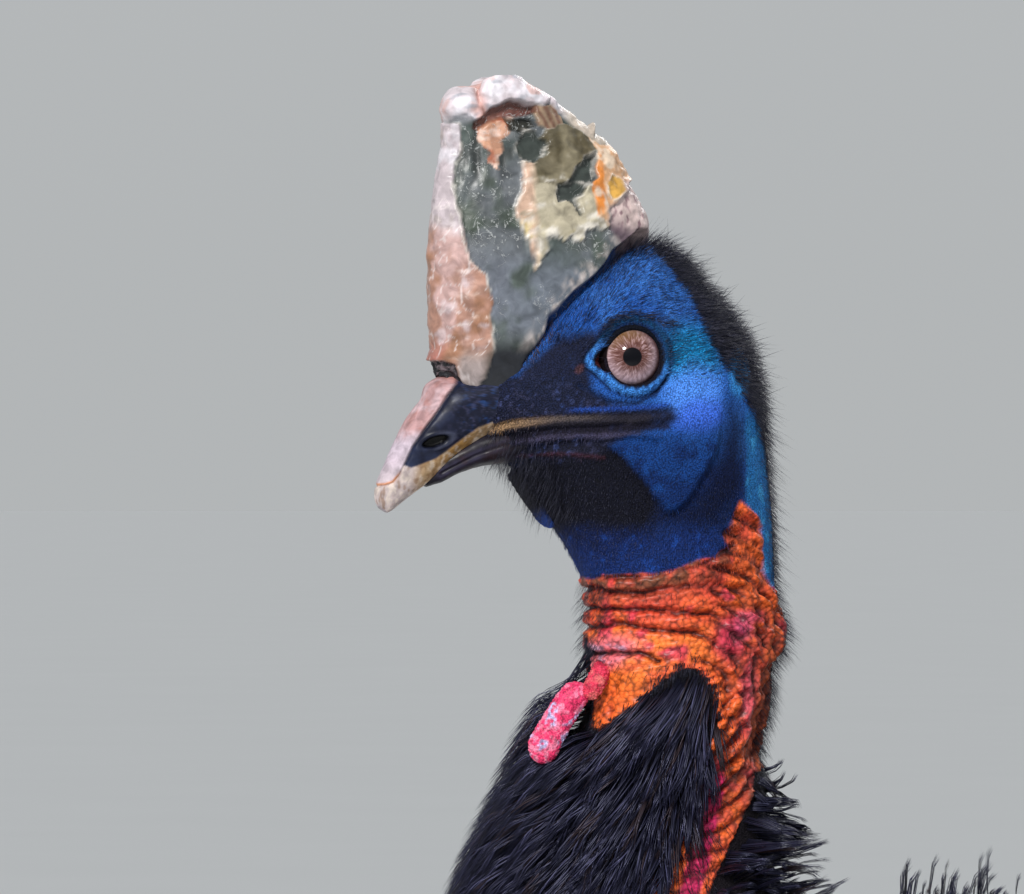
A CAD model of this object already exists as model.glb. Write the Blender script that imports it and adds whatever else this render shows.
"""A still, life-size model of a northern cassowary, dressed over its solids.

Metres, +Z up. The bird faces -X and its left side faces -Y, where the camera stands.
"""

import math

import bmesh
import bpy
import numpy as np
from mathutils import Matrix, Vector


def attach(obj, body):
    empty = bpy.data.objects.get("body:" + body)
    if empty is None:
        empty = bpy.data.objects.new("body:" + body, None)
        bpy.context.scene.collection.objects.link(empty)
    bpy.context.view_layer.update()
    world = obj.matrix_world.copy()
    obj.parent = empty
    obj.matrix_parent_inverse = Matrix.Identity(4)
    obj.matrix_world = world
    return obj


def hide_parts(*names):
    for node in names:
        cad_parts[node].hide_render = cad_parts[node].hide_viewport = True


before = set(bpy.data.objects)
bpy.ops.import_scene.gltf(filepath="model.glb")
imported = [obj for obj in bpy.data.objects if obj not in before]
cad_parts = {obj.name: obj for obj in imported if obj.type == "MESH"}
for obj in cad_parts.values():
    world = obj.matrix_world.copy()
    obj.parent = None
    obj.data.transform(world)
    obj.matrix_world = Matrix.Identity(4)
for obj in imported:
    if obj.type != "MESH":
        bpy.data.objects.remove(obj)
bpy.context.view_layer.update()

# Camera, level with the head, far off and with a long lens
VIEW_CENTRE = (-0.426, 1.1513)
VIEW_DISTANCE = 3.67
LENS = 300
SENSOR = 36

# Head turn, about an upright axis at the back of the neck
HEAD_TURN = math.radians(18)
TURN_AXIS_X = -0.3453

# Sections of the bird from its rump to its face: lower or front point (x, z), upper or rear
# point (x, z), half width, and the share of the head's turn that the section has.
SECTIONS = np.array([
    (0.412, 0.585, 0.428, 0.655, 0.04, 0.0),
    (0.39, 0.55, 0.43, 0.7, 0.09, 0.0),
    (0.325, 0.53, 0.38, 0.805, 0.135, 0.0),
    (0.24, 0.52, 0.305, 0.882, 0.168, 0.0),
    (0.13, 0.508, 0.225, 0.931, 0.193, 0.0),
    (0.0, 0.515, 0.14, 0.96, 0.203, 0.0),
    (-0.145, 0.54, 0.05, 0.973, 0.198, 0.0),
    (-0.272, 0.59, -0.04, 0.973, 0.182, 0.0),
    (-0.362, 0.66, -0.115, 0.966, 0.156, 0.0),
    (-0.422, 0.75, -0.185, 0.957, 0.123, 0.0),
    (-0.445, 0.84, -0.245, 0.946, 0.09, 0.0),
    (-0.443, 0.91, -0.293, 0.943, 0.064, 0.0),
    (-0.431, 0.959, -0.313, 0.97, 0.046, 0.0),
    (-0.416, 0.991, -0.317, 0.996, 0.039, 0.0),
    (-0.405, 1.0167, -0.315, 1.019, 0.035, 0.0),
    (-0.393, 1.0425, -0.311, 1.0425, 0.033, 0.33),
    (-0.3943, 1.0683, -0.3096, 1.0683, 0.032, 0.67),
    (-0.3957, 1.0899, -0.3128, 1.0899, 0.0315, 1.0),
    (-0.4032, 1.1061, -0.3141, 1.1199, 0.032, 1.0),
    (-0.414, 1.122, -0.3168, 1.15, 0.033, 1.0),
    (-0.4244, 1.1362, -0.3204, 1.1779, 0.0335, 1.0),
    (-0.4303, 1.1435, -0.3295, 1.2007, 0.033, 1.0),
    (-0.4344, 1.1466, -0.3453, 1.2205, 0.0315, 1.0),
    (-0.438, 1.1491, -0.3656, 1.2381, 0.029, 1.0),
    (-0.4411, 1.1522, -0.3905, 1.2308, 0.0255, 1.0),
    (-0.4448, 1.156, -0.4176, 1.2068, 0.0215, 1.0),
    (-0.4475, 1.1607, -0.4402, 1.1853, 0.0165, 1.0),
])
LAST_SECTION = len(SECTIONS) - 1.0
FULLNESS = 0.93
SKIN_COLUMNS = 240
# How many rows of skin each section has before the next
SKIN_ROWS = [5, 5, 5] + [5] * 8 + [14, 24, 28, 31, 34, 32, 26, 24, 24, 20, 18, 18, 18, 16, 9]

# The eye, and the pointed front corner of its opening
EYE_PLACE = np.array([-0.3857, 0.0215, 1.1896])
EYE_RADIUS = 0.0145
EYE_OPENING = 0.0121
CANTHUS_REACH = 0.0048
CANTHUS_WIDTH = 0.3
CANTHUS_DIP = -0.1
PUPIL_AHEAD = 0.0024
CORNEA_RADIUS = 0.0115
CORNEA_BULGE = 0.0009

# Colours of the dark skin and of the folded neck
BLACK = (0.006, 0.006, 0.012)
ORANGE = (0.8, 0.135, 0.022)
AMBER = (0.9, 0.21, 0.026)
RED = (0.64, 0.06, 0.036)
CRIMSON = (0.58, 0.018, 0.095)
OLIVE = (0.1, 0.045, 0.018)


# Numbers over arrays

def fade(low, high, value):
    """0 below low, 1 above high, and a soft step between."""
    share = np.clip((np.asarray(value, float) - low) / (high - low), 0.0, 1.0)
    return share * share * (3.0 - 2.0 * share)


def scramble(cells, seed):
    """A number from 0 to 1 that is always the same for the same lattice cell."""
    x, y, z = (cells[..., axis].astype(np.int64) for axis in range(3))
    mixed = (x * 73856093) ^ (y * 19349663) ^ (z * 83492791) ^ (seed * 26544357)
    mixed = ((mixed ^ (mixed >> 13)) * 1274126177) & 0x7FFFFFFF
    mixed = ((mixed ^ (mixed >> 15)) * 668265263) & 0x7FFFFFFF
    return ((mixed ^ (mixed >> 12)) & 0xFFFFFF) / 0xFFFFFF


def cloud(points, size, seed=0, layers=3):
    """Soft noise from -1 to 1 whose largest features are about one size across."""
    total, weight, sum_weight = 0.0, 1.0, 0.0
    for layer in range(layers):
        place = np.asarray(points) / size * 2.0 ** layer + 17.3 * layer
        cell = np.floor(place)
        share = place - cell
        share = share * share * (3.0 - 2.0 * share)
        value = 0.0
        for corner in range(8):
            step = np.array([corner & 1, (corner >> 1) & 1, (corner >> 2) & 1])
            near = np.where(step, share, 1.0 - share)
            value = value + scramble(cell + step, seed + layer) * near.prod(axis=-1)
        total = total + weight * (2.0 * value - 1.0)
        sum_weight += weight
        weight *= 0.5
    return total / sum_weight


def grains(points, size, seed=0):
    """Distance to the nearest and the second nearest of scattered points, in cells."""
    place = np.asarray(points) / size
    cell = np.floor(place)
    first = np.full(place.shape[:-1], 9.0)
    second = np.full(place.shape[:-1], 9.0)
    for x in (-1, 0, 1):
        for y in (-1, 0, 1):
            for z in (-1, 0, 1):
                near = cell + (x, y, z)
                spot = near + np.stack([scramble(near, seed + axis) for axis in range(3)], axis=-1)
                gap = np.linalg.norm(place - spot, axis=-1)
                second = np.minimum(second, np.maximum(first, gap))
                first = np.minimum(first, gap)
    return first, second


def bell(value, width, middle=0.0):
    """1 in the middle, falling off softly to both sides."""
    return np.exp(-((value - middle) / width) ** 2)


def blend(base, colour, mask):
    """A colour over another, as far as the mask says."""
    mask = np.asarray(mask)[..., None]
    return np.asarray(base) * (1.0 - mask) + np.asarray(colour) * mask


class Paint:
    """The colour of every point of a surface, painted over again and again."""

    def __init__(self, colour, points):
        self.points = points
        self.now = np.broadcast_to(np.array(colour), points.shape)

    def add(self, colour, mask):
        self.now = blend(self.now, colour.now if isinstance(colour, Paint) else colour, mask)

    def mottle(self, colour, strength, low, high, size, seed, layers=3):
        """Clouds of another colour."""
        self.add(colour, strength * fade(low, high, cloud(self.points, size, seed, layers)))


def outline(*numbers):
    """Places (x, z) of a line or a region before the head turns, from tenths of a millimetre."""
    return [(x / 10000, z / 10000) for x, z in zip(numbers[::2], numbers[1::2])]


def around(count):
    """Angles spread evenly over a full turn."""
    return np.arange(count) / count * math.tau


def unit(vectors, least=1e-12):
    """Vectors drawn to a length of one."""
    return vectors / (np.linalg.norm(vectors, axis=-1, keepdims=True) + least)


def spot(x, z, centre, radii, turn=0.0):
    """How far places are from the middle of an ellipse, where 1 is its edge."""
    across, up = x - centre[0], z - centre[1]
    cos, sin = math.cos(turn), math.sin(turn)
    return np.hypot((across * cos + up * sin) / radii[0], (-across * sin + up * cos) / radii[1])


def to_line(x, z, corners):
    """Distance from places to a broken line, and how far along it the nearest place is."""
    best = np.full(np.shape(x), 9.0)
    along = np.zeros(np.shape(x))
    for number in range(len(corners) - 1):
        (x0, z0), (x1, z1) = corners[number], corners[number + 1]
        dx, dz = x1 - x0, z1 - z0
        share = np.clip(((x - x0) * dx + (z - z0) * dz) / (dx * dx + dz * dz), 0.0, 1.0)
        gap = np.hypot(x - x0 - dx * share, z - z0 - dz * share)
        along = np.where(gap < best, number + share, along)
        best = np.minimum(best, gap)
    return best, along


def within(x, z, corners):
    """True inside a closed outline."""
    inside = np.zeros(np.shape(x), bool)
    for number in range(len(corners)):
        (x0, z0), (x1, z1) = corners[number - 1], corners[number]
        crosses = (z0 > z) != (z1 > z)
        inside ^= crosses & (x < x0 + (z - z0) * (x1 - x0) / (z1 - z0 + 1e-12))
    return inside


def patch(x, z, corners, soft):
    """1 well inside a closed outline, 0 well outside it, and a soft step over its edge."""
    gap, _ = to_line(x, z, list(corners) + [corners[0]])
    return fade(-soft, soft, np.where(within(x, z, corners), gap, -gap))


def smooth_between(rows, places):
    """Rows of numbers at places between them, on a smooth curve through them all."""
    rows = np.asarray(rows, float)
    padded = np.vstack([2 * rows[0] - rows[1], rows, 2 * rows[-1] - rows[-2]])
    places = np.clip(places, 0.0, len(rows) - 1.0)
    index = np.minimum(places.astype(int), len(rows) - 2)
    t = (places - index)[..., None]
    a, b, c, d = (padded[index + step] for step in range(4))
    return 0.5 * (2 * b + (c - a) * t + (2 * a - 5 * b + 4 * c - d) * t ** 2
                  + (3 * b - a - 3 * c + d) * t ** 3)


def turn_about_nape(points, angle):
    """Places turned about the upright axis at the back of the neck."""
    x, y = points[..., 0] - TURN_AXIS_X, points[..., 1]
    cos, sin = np.cos(angle), np.sin(angle)
    return np.stack([TURN_AXIS_X + x * cos - y * sin, x * sin + y * cos, points[..., 2]], axis=-1)


def round_section(rows, angles, fullness=FULLNESS):
    """Places on rounded sections, from the low or front point round over the left side."""
    along, across = np.cos(angles), -np.sin(angles)
    along = np.sign(along) * np.abs(along) ** fullness
    across = np.sign(across) * np.abs(across) ** fullness
    low_x, low_z, high_x, high_z, width = (rows[..., number] for number in range(5))
    return np.stack([(low_x + high_x) / 2 + (low_x - high_x) / 2 * along,
                     across * width,
                     (low_z + high_z) / 2 + (low_z - high_z) / 2 * along], axis=-1)


def straight_form(places, angles):
    """The bird's form before its head turns."""
    return round_section(smooth_between(SECTIONS, places), angles)


def form(places, angles):
    """The bird's form, with its head turned."""
    rows = smooth_between(SECTIONS, places)
    return turn_about_nape(round_section(rows, angles), HEAD_TURN * rows[..., 5])


def outward(grid):
    """Unit normals of a grid of points whose columns close on themselves."""
    down = np.gradient(grid, axis=0)
    round_it = np.roll(grid, -1, axis=1) - np.roll(grid, 1, axis=1)
    normal = unit(np.cross(round_it, down))
    middle = grid.mean(axis=1, keepdims=True)
    if ((grid - middle) * normal).sum() < 0:
        normal = -normal
    return normal


def raised(grid, height):
    """A grid of points moved out along its normals."""
    return grid + outward(grid) * height[..., None]


# Making pieces

def shown(name, mesh, finish):
    """A visible piece, which rides on the part."""
    piece = bpy.data.objects.new(name, mesh)
    bpy.context.scene.collection.objects.link(piece)
    mesh.materials.append(finish)
    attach(piece, "root")
    return piece


def tinted(mesh, name, values):
    """A colour or a number for every point of a mesh, for its material to read."""
    values = np.asarray(values, float)
    if values.ndim == 2:
        layer = mesh.attributes.new(name, "FLOAT_COLOR", "POINT")
        layer.data.foreach_set("color", np.column_stack([values, np.ones(len(values))]).ravel())
    else:
        layer = mesh.attributes.new(name, "FLOAT", "POINT")
        layer.data.foreach_set("value", values.ravel())


def wrapped(name, grid, finish, closed=(True, True), **layers):
    """A skin over a grid of points whose columns meet, drawn to a point at its closed ends."""
    rows, columns = grid.shape[:2]
    bm = bmesh.new()
    bm.loops.layers.uv.new("Lay")
    bmesh.ops.create_grid(bm, x_segments=columns, y_segments=rows - 1, size=1.0, calc_uvs=True)
    mesh = bpy.data.meshes.new(name)
    bm.to_mesh(mesh)
    bm.free()
    grid = np.concatenate([grid, grid[:, :1]], axis=1)
    ends = [end for end, shut in zip((0, -1), closed) if shut]
    for end in ends:
        grid[end] = grid[end, :-1].mean(axis=0)
    mesh.vertices.foreach_set("co", grid.ravel())
    for layer, values in layers.items():
        values = np.concatenate([values, values[:, :1]], axis=1)
        tinted(mesh, layer, values.reshape(-1, 3) if values.ndim == 3 else values.ravel())
    bm = bmesh.new()
    bm.from_mesh(mesh)
    bmesh.ops.remove_doubles(bm, verts=bm.verts, dist=0.000001)
    bmesh.ops.recalc_face_normals(bm, faces=bm.faces)
    bm.to_mesh(mesh)
    bm.free()
    mesh.shade_smooth()
    return shown(name, mesh, finish)


def fused(pieces):
    """Several pieces as one mesh, which the first one keeps."""
    bm = bmesh.new()
    for piece in pieces:
        bm.from_mesh(piece.data)
    bm.to_mesh(pieces[0].data)
    bm.free()
    for piece in pieces[1:]:
        bpy.data.objects.remove(piece)
    return pieces[0]


def blades(name, centre, side, lift, half, thick, uv, finish, tint):
    """Tapered strands of triangular section as one mesh.

    centre, side and lift have a row for each strand and a column for each section; half and
    thick are the half width and thickness there; the last column is the tip.
    """
    count, sections = centre.shape[:2]
    body = sections - 1
    left = centre[:, :-1] - side[:, :-1] * half[..., None]
    right = centre[:, :-1] + side[:, :-1] * half[..., None]
    ridge = centre[:, :-1] + lift[:, :-1] * thick[..., None]
    corners = np.stack([left, right, ridge], axis=2).reshape(count, body * 3, 3)
    points = np.concatenate([corners, centre[:, -1:]], axis=1)
    each = body * 3 + 1
    quads, ends = [], []
    for section in range(body - 1):
        at, up = section * 3, section * 3 + 3
        quads += [(at, at + 1, up + 1, up), (at + 1, at + 2, up + 2, up + 1), (at + 2, at, up, up + 2)]
    at, tip = (body - 1) * 3, body * 3
    ends += [(at, at + 1, tip), (at + 1, at + 2, tip), (at + 2, at, tip), (0, 2, 1)]
    base = np.arange(count)[:, None] * each
    quad_loops = (base + np.array(quads).ravel()).reshape(count, -1)
    end_loops = (base + np.array(ends).ravel()).reshape(count, -1)
    loops = np.concatenate([quad_loops, end_loops], axis=1).ravel()
    sizes = np.tile(np.array([4] * len(quads) + [3] * len(ends)), count)
    starts = np.concatenate([[0], np.cumsum(sizes)[:-1]])
    mesh = bpy.data.meshes.new(name)
    mesh.vertices.add(points.shape[0] * each)
    mesh.vertices.foreach_set("co", points.ravel())
    mesh.loops.add(len(loops))
    mesh.loops.foreach_set("vertex_index", loops.astype(np.int32))
    mesh.polygons.add(len(sizes))
    mesh.polygons.foreach_set("loop_start", starts.astype(np.int32))
    mesh.update(calc_edges=True)
    # Each strand's patch of the unwrap: round it across, and along it up
    corner_u = np.tile([0.0, 0.5, 1.0], body).tolist() + [0.5]
    corner_v = np.repeat(np.arange(body) / body, 3).tolist() + [1.0]
    local = np.stack([corner_u, corner_v], axis=-1) * PATCH
    uvs = (uv[:, None, :] + local[None]).reshape(-1, 2)
    layer = mesh.uv_layers.new(name="OFBake")
    layer.data.foreach_set("uv", uvs[loops].ravel())
    tinted(mesh, "tint", np.repeat(tint, each, axis=0))
    share = np.tile(corner_v, count)
    tinted(mesh, "along", share)
    mesh.shade_smooth()
    return shown(name, mesh, finish)


# Width of a strand's patch on the unwrap, the unwrap's margin and span, and the most triangles of one piece
PATCH = 0.003
MARGIN = 0.003
SPAN = 0.99
MOST_TRIANGLES = 190000


def coat_pieces(name, centre, side, lift, half, thick, uv, finish, tint):
    """Strands shared out over as many pieces as keep each below the limit."""
    sections = centre.shape[1]
    each = 6 * (sections - 2) + 4
    count = math.ceil(len(centre) * each / MOST_TRIANGLES)
    for number in range(count):
        part = slice(number, None, count)
        label = name if count == 1 else f"{name}_{number + 1}"
        blades(label, centre[part], side[part], lift[part], half[part], thick[part], uv[part],
               finish, tint[part])


# Finishes

class Number:
    """A socket of a finish, on which ordinary arithmetic adds Math nodes."""

    def __init__(self, finish, socket):
        self.finish = finish
        self.socket = socket

    def sum(self, operation, *values):
        return self.finish.node("ShaderNodeMath", {"operation": operation}, values)

    def __add__(self, other):
        return self.sum("ADD", self, other)

    def __sub__(self, other):
        return self.sum("SUBTRACT", self, other)

    def __rsub__(self, other):
        return self.sum("SUBTRACT", other, self)

    def __mul__(self, other):
        return self.sum("MULTIPLY", self, other)

    def __pow__(self, other):
        return self.sum("POWER", self, other)

    __radd__ = __add__
    __rmul__ = __mul__


class Finish:
    """A material whose nodes are written as expressions."""

    def __init__(self, name, **constants):
        self.material = bpy.data.materials.new(name)
        self.material.use_nodes = True
        self.tree = self.material.node_tree
        self.shader = self.tree.nodes["Principled BSDF"]
        for socket, value in constants.items():
            self.shader.inputs[socket.replace("_", " ")].default_value = value

    def join(self, value, socket):
        if isinstance(value, Number):
            self.tree.links.new(value.socket, socket)
        else:
            socket.default_value = value

    def node(self, kind, settings=None, values=(), named=None, output=0):
        made = self.tree.nodes.new(kind)
        for key, value in (settings or {}).items():
            if key == "stops":
                ramp = made.color_ramp
                while len(ramp.elements) < len(value):
                    ramp.elements.new(1.0)
                for element, (place, colour) in zip(ramp.elements, value):
                    element.position = place
                    element.color = (*colour, 1.0)
            else:
                setattr(made, key, value)
        for index, value in enumerate(values):
            self.join(value, made.inputs[index])
        for key, value in (named or {}).items():
            self.join(value, made.inputs[key])
        return Number(self, made.outputs[output])

    def object_place(self):
        return self.node("ShaderNodeTexCoord", output=3)

    def noise(self, scale, detail=3.0, place=None, distortion=0.0):
        return self.node("ShaderNodeTexNoise", None, (), {
            "Vector": place or self.object_place(), "Scale": scale, "Detail": detail,
            "Distortion": distortion})

    def cells(self, scale, feature="F1", place=None):
        return self.node("ShaderNodeTexVoronoi", {"feature": feature}, (), {
            "Vector": place or self.object_place(), "Scale": scale})

    def ramp(self, value, *stops):
        stops = [(place, (level,) * 3 if isinstance(level, (int, float)) else level)
                 for place, level in stops]
        return self.node("ShaderNodeValToRGB", {"stops": stops}, (value,))

    def layer(self, name, number=False):
        return self.node("ShaderNodeAttribute", {"attribute_name": name}, output=2 if number else 0)

    def mixed(self, factor, first, second, blend_type="MIX"):
        made = self.tree.nodes.new("ShaderNodeMix")
        made.data_type = "RGBA"
        made.blend_type = blend_type
        for index, value in ((0, factor), (6, first), (7, second)):
            if index and isinstance(value, tuple):
                value = (*value, 1.0)
            self.join(value, made.inputs[index])
        return Number(self, made.outputs[2])

    def bump(self, height, distance, strength=1.0):
        return self.node("ShaderNodeBump", None, (), {
            "Height": height, "Distance": distance, "Strength": strength})

    def done(self, colour=None, roughness=None, normal=None, coat=None):
        for value, name in ((colour, "Base Color"), (roughness, "Roughness"), (normal, "Normal"),
                            (coat, "Coat Weight")):
            if value is not None:
                self.join(value, self.shader.inputs[name])
        return self.material


def bare_skin_finish():
    """Velvety, finely pebbled blue skin to coarse, moist orange granules, by the pebble layer."""
    finish = Finish("bare skin", IOR=1.42, Specular_IOR_Level=0.16, Coat_Roughness=0.36, Coat_IOR=1.42)
    tint = finish.layer("tint")
    pebble = finish.layer("pebble", number=True)
    fine = finish.ramp(finish.cells(1350.0), (0.1, 1.0), (0.8, 0.0))
    coarse = finish.ramp(finish.cells(430.0), (0.08, 1.0), (0.5, 0.55), (0.85, 0.0))
    grit = finish.noise(1500.0, 2.0)
    height = fine * (1.0 - pebble) * 0.45 + coarse * pebble + grit * 0.2
    lit = finish.ramp(fine * 0.6 + grit * 0.6, (0.25, 0.42), (0.55, 0.94), (0.9, 1.75))
    lit_coarse = finish.ramp(coarse * 0.9 + grit * 0.2, (0.12, 0.42), (0.5, 1.02), (1.0, 1.4))
    colour = finish.mixed(1.0, tint, finish.mixed(pebble, lit, lit_coarse), "MULTIPLY")
    velvet = finish.ramp(grit, (0.3, 0.62), (0.7, 0.78))
    moist = finish.ramp(grit, (0.3, 0.34), (0.7, 0.52))
    return finish.done(colour, finish.mixed(pebble, velvet, moist), finish.bump(height, 0.001, 0.9),
                       pebble * 0.55)


def coat_finish():
    """Black, hair-like feather with a blue sheen, browner at the root."""
    finish = Finish("feather", IOR=1.5, Specular_Tint=(0.66, 0.68, 1.0, 1.0))
    tint = finish.layer("tint")
    along = finish.layer("along", number=True)
    patches = finish.noise(60.0, 2.0)
    shade = finish.ramp(patches * 0.5 + along * 0.5, (0.15, 0.45), (0.8, 1.5))
    return finish.done(finish.mixed(1.0, tint, shade, "MULTIPLY"),
                       finish.ramp(patches, (0.3, 0.28), (0.7, 0.44)))


def horn_finish(name, scale, distance, roughness, shine):
    """Layered horn: its colours come from the tint layer, with fine streaks, chips and scratches."""
    finish = Finish(name, IOR=1.5, Specular_IOR_Level=shine, Coat_Roughness=0.25, Coat_Weight=shine * 0.5)
    tint = finish.layer("tint")
    mist = finish.noise(scale, 6.0, distortion=0.6)
    flakes = finish.cells(scale * 1.6)
    shade = finish.ramp(mist, (0.3, 0.66), (0.7, 1.25))
    wander = finish.noise(150.0, 3.0, distortion=0.9)
    line = (wander - 0.5).sum("ABSOLUTE", wander - 0.5)
    here = finish.ramp(finish.noise(60.0, 2.0), (0.46, 0.0), (0.58, 1.0))
    scratched = finish.layer("scratched", number=True)
    scratch = finish.ramp(line, (0.003, 1.0), (0.012, 0.0)) * here * scratched
    specks = finish.ramp(finish.cells(330.0), (0.1, 1.0), (0.17, 0.0)) * here * scratched
    marks = (scratch * 0.42).sum("MAXIMUM", scratch * 0.42, specks * 0.35)
    colour = finish.mixed(1.0, tint, shade, "MULTIPLY")
    colour = finish.mixed(marks, colour, (0.62, 0.64, 0.64))
    low, high = roughness
    return finish.done(colour, finish.ramp(mist, (0.3, low), (0.7, high)),
                       finish.bump(mist * 0.7 + flakes * 0.3 + marks * 0.8, distance, 0.8))


def eye_finish():
    """A black pupil in a streaked brown iris, amber above and paler below, under a wet surface."""
    finish = Finish("eye", Roughness=0.35, IOR=1.34, Specular_IOR_Level=0.04, Coat_Weight=0.6, Coat_Roughness=0.03,
                    Coat_IOR=1.36)
    uv = finish.node("ShaderNodeUVMap", {"uv_map": "Iris"})
    apart = finish.tree.nodes.new("ShaderNodeSeparateXYZ")
    finish.join(uv, apart.inputs[0])
    across, up = Number(finish, apart.outputs[0]), Number(finish, apart.outputs[1])
    radius = (across * across + up * up) ** 0.5
    angle = across.sum("ARCTAN2", up, across)
    wheel = finish.node("ShaderNodeCombineXYZ", None, (angle * 5.0, radius * 3.0, 0.0))
    streaks = finish.noise(1.9, 6.0, wheel, 0.5)
    iris = finish.ramp(streaks, (0.34, (0.085, 0.032, 0.028)), (0.5, (0.185, 0.09, 0.078)),
                       (0.66, (0.46, 0.31, 0.33)))
    olive = finish.ramp(up * 0.75 - across * 0.3 + radius * 0.35, (0.4, 0.0), (0.8, 0.8))
    iris = finish.mixed(olive, iris, (0.155, 0.08, 0.024))
    pale = finish.ramp(radius - up * 0.35, (0.45, 0.0), (0.9, 0.85))
    iris = finish.mixed(pale * streaks * 1.6, iris, (0.62, 0.46, 0.53))
    limb = finish.ramp(radius, (0.26, 0.85), (0.48, 0.1), (0.74, 0.0), (0.9, 0.85))
    iris = finish.mixed(limb, iris, (0.07, 0.022, 0.018))
    core = finish.ramp(radius, (0.262, 1.0), (0.285, 0.0))
    middle = across - PUPIL_AHEAD / EYE_RADIUS
    ring = finish.ramp((middle * middle + up * up) ** 0.5, (0.795, 0.0), (0.82, 1.0))
    colour = finish.mixed(core, iris, (0.001, 0.001, 0.003))
    return finish.done(finish.mixed(ring, colour, (0.01, 0.007, 0.008)))


def scute_finish():
    """Grey-brown leg skin: darker in the joints between scutes, dusty on their faces."""
    finish = Finish("leg skin", IOR=1.45)
    tint = finish.layer("tint")
    dust = finish.noise(220.0, 5.0)
    cracks = finish.cells(420.0, "DISTANCE_TO_EDGE")
    shade = finish.ramp(dust, (0.3, 0.62), (0.7, 1.35))
    height = finish.ramp(cracks, (0.0, 0.0), (0.12, 1.0)) * 0.6 + dust * 0.4
    return finish.done(finish.mixed(1.0, tint, shade, "MULTIPLY"),
                       finish.ramp(dust, (0.3, 0.42), (0.7, 0.66)), finish.bump(height, 0.0006, 0.8))


def floor_finish():
    """Pale, faintly mottled studio floor."""
    finish = Finish("floor", Roughness=0.9, Specular_IOR_Level=0.2)
    mottle = finish.noise(1.3, 3.0)
    return finish.done(finish.ramp(mottle, (0.3, (0.715, 0.722, 0.718)), (0.7, (0.725, 0.732, 0.728))))


skin_finish = bare_skin_finish()
feather_finish = coat_finish()
casque_finish = horn_finish("casque horn", 190.0, 0.0005, (0.3, 0.52), 0.34)
bill_finish = horn_finish("bill horn", 260.0, 0.0002, (0.38, 0.55), 0.16)
leg_finish = scute_finish()


# The bare head and neck, and the body under the coat

# Regions and lines of the skin before the head turns
LORES = outline(-4700, 11840, -4340, 11830, -4232, 11925, -4155, 11985, -4028, 12008, -3965, 11973, -4015, 11921,
                -4046, 11835, -4035, 11760, -3956, 11700, -3802, 11690, -3690, 11682, -3670, 11640, -3720, 11600,
                -3900, 11560, -4020, 11475, -4700, 11400)
CHEEK_FLAP = outline(-4002, 11543, -3920, 11475, -3844, 11395, -3776, 11306, -3704, 11232, -3640, 11270,
                     -3596, 11328, -3496, 11500, -3451, 11690, -3700, 11730)
BEHIND_CHEEK = outline(-3400, 11720, -3485, 11525, -3538, 11389, -3605, 11290, -3720, 11215, -3640, 11160,
                       -3450, 11160, -3380, 11290, -3333, 11338, -3324, 11593)
GAPE = outline(-4460, 11585, -4369, 11618, -4183, 11640, -3870, 11650, -3710, 11665)
UNDER_GAPE = outline(-4400, 11560, -4183, 11590, -3900, 11605, -3720, 11600)
LOWER_LIP = outline(-4400, 11520, -4183, 11555, -4005, 11560, -3871, 11572, -3754, 11559)
MOUTH_LINE = outline(-4340, 11475, -4183, 11486, -4094, 11480, -3987, 11468)
# Ridges and creases of the mouth: line, how far below it, height, half width
MOUTH_RIDGES = [(GAPE, 0.0, -0.0011, 0.0006), (GAPE, 0.0024, 0.0014, 0.0016), (UNDER_GAPE, 0.0, -0.0013, 0.0007),
                (LOWER_LIP, 0.0, 0.0009, 0.0012), (LOWER_LIP, 0.0028, -0.0016, 0.0011),
                (MOUTH_LINE, 0.0, 0.001, 0.0012)]
LID_FOLD = outline(-4095, 11780, -3988, 11712, -3854, 11699, -3764, 11738, -3711, 11814)
WARM_SKIN = outline(-4600, 10900, -4079, 10925, -3919, 10964, -3758, 10964, -3606, 11015, -3490, 11049,
                    -3427, 11092, -3454, 11134, -3409, 11202, -3373, 11280, -3287, 11228, -3242, 11160,
                    -3246, 11058, -3224, 10964, -3153, 10888, -2900, 10850, -2900, 8800, -4600, 8800)
MAGENTA_STRIP = outline(-3373, 10160, -3407, 9998, -3442, 9860, -3477, 9722, -3520, 9560)
CREASES = [
    outline(-4150, 10955, -3861, 10964, -3689, 10984, -3586, 10997, -3448, 11050, -3393, 11089),
    outline(-4150, 10870, -3970, 10898, -3813, 10898, -3636, 10912, -3513, 10905, -3438, 10852),
    outline(-4150, 10812, -3922, 10816, -3806, 10823, -3637, 10813, -3467, 10780, -3379, 10714, -3310, 10600),
    outline(-4150, 10720, -3935, 10740, -3854, 10767, -3759, 10740, -3577, 10721, -3462, 10681, -3361, 10609,
            -3300, 10480),
    outline(-4150, 10560, -3958, 10622, -3850, 10642, -3770, 10642, -3690, 10602),
]
BROW = outline(-4010, 12020, -3950, 12062, -3888, 12078, -3790, 12061, -3683, 12035)
# The front edge of the crest
CREST_EDGE_Z = [1.085, 1.15, 1.1661, 1.1763, 1.1831, 1.1865, 1.1976, 1.2052, 1.2112, 1.2188, 1.234]
CREST_EDGE_X = [-0.314, -0.3215, -0.329, -0.336, -0.34, -0.3449, -0.3512, -0.3538, -0.3556, -0.3592, -0.372]


def eye_polar(x, z):
    """Distance and direction from the eye's middle, with 0 towards the bill."""
    ahead, up = EYE_PLACE[0] - x, z - EYE_PLACE[2]
    return np.hypot(ahead, up), np.arctan2(up, ahead)


def lid_edge(angle):
    """How far from its middle the eye opens, which is furthest at the front corner."""
    return EYE_OPENING + CANTHUS_REACH * bell(angle, CANTHUS_WIDTH, CANTHUS_DIP)


def from_front(angle):
    """The angle from the front midline, the same on both sides."""
    return np.abs((angle + math.pi) % math.tau - math.pi)


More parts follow.
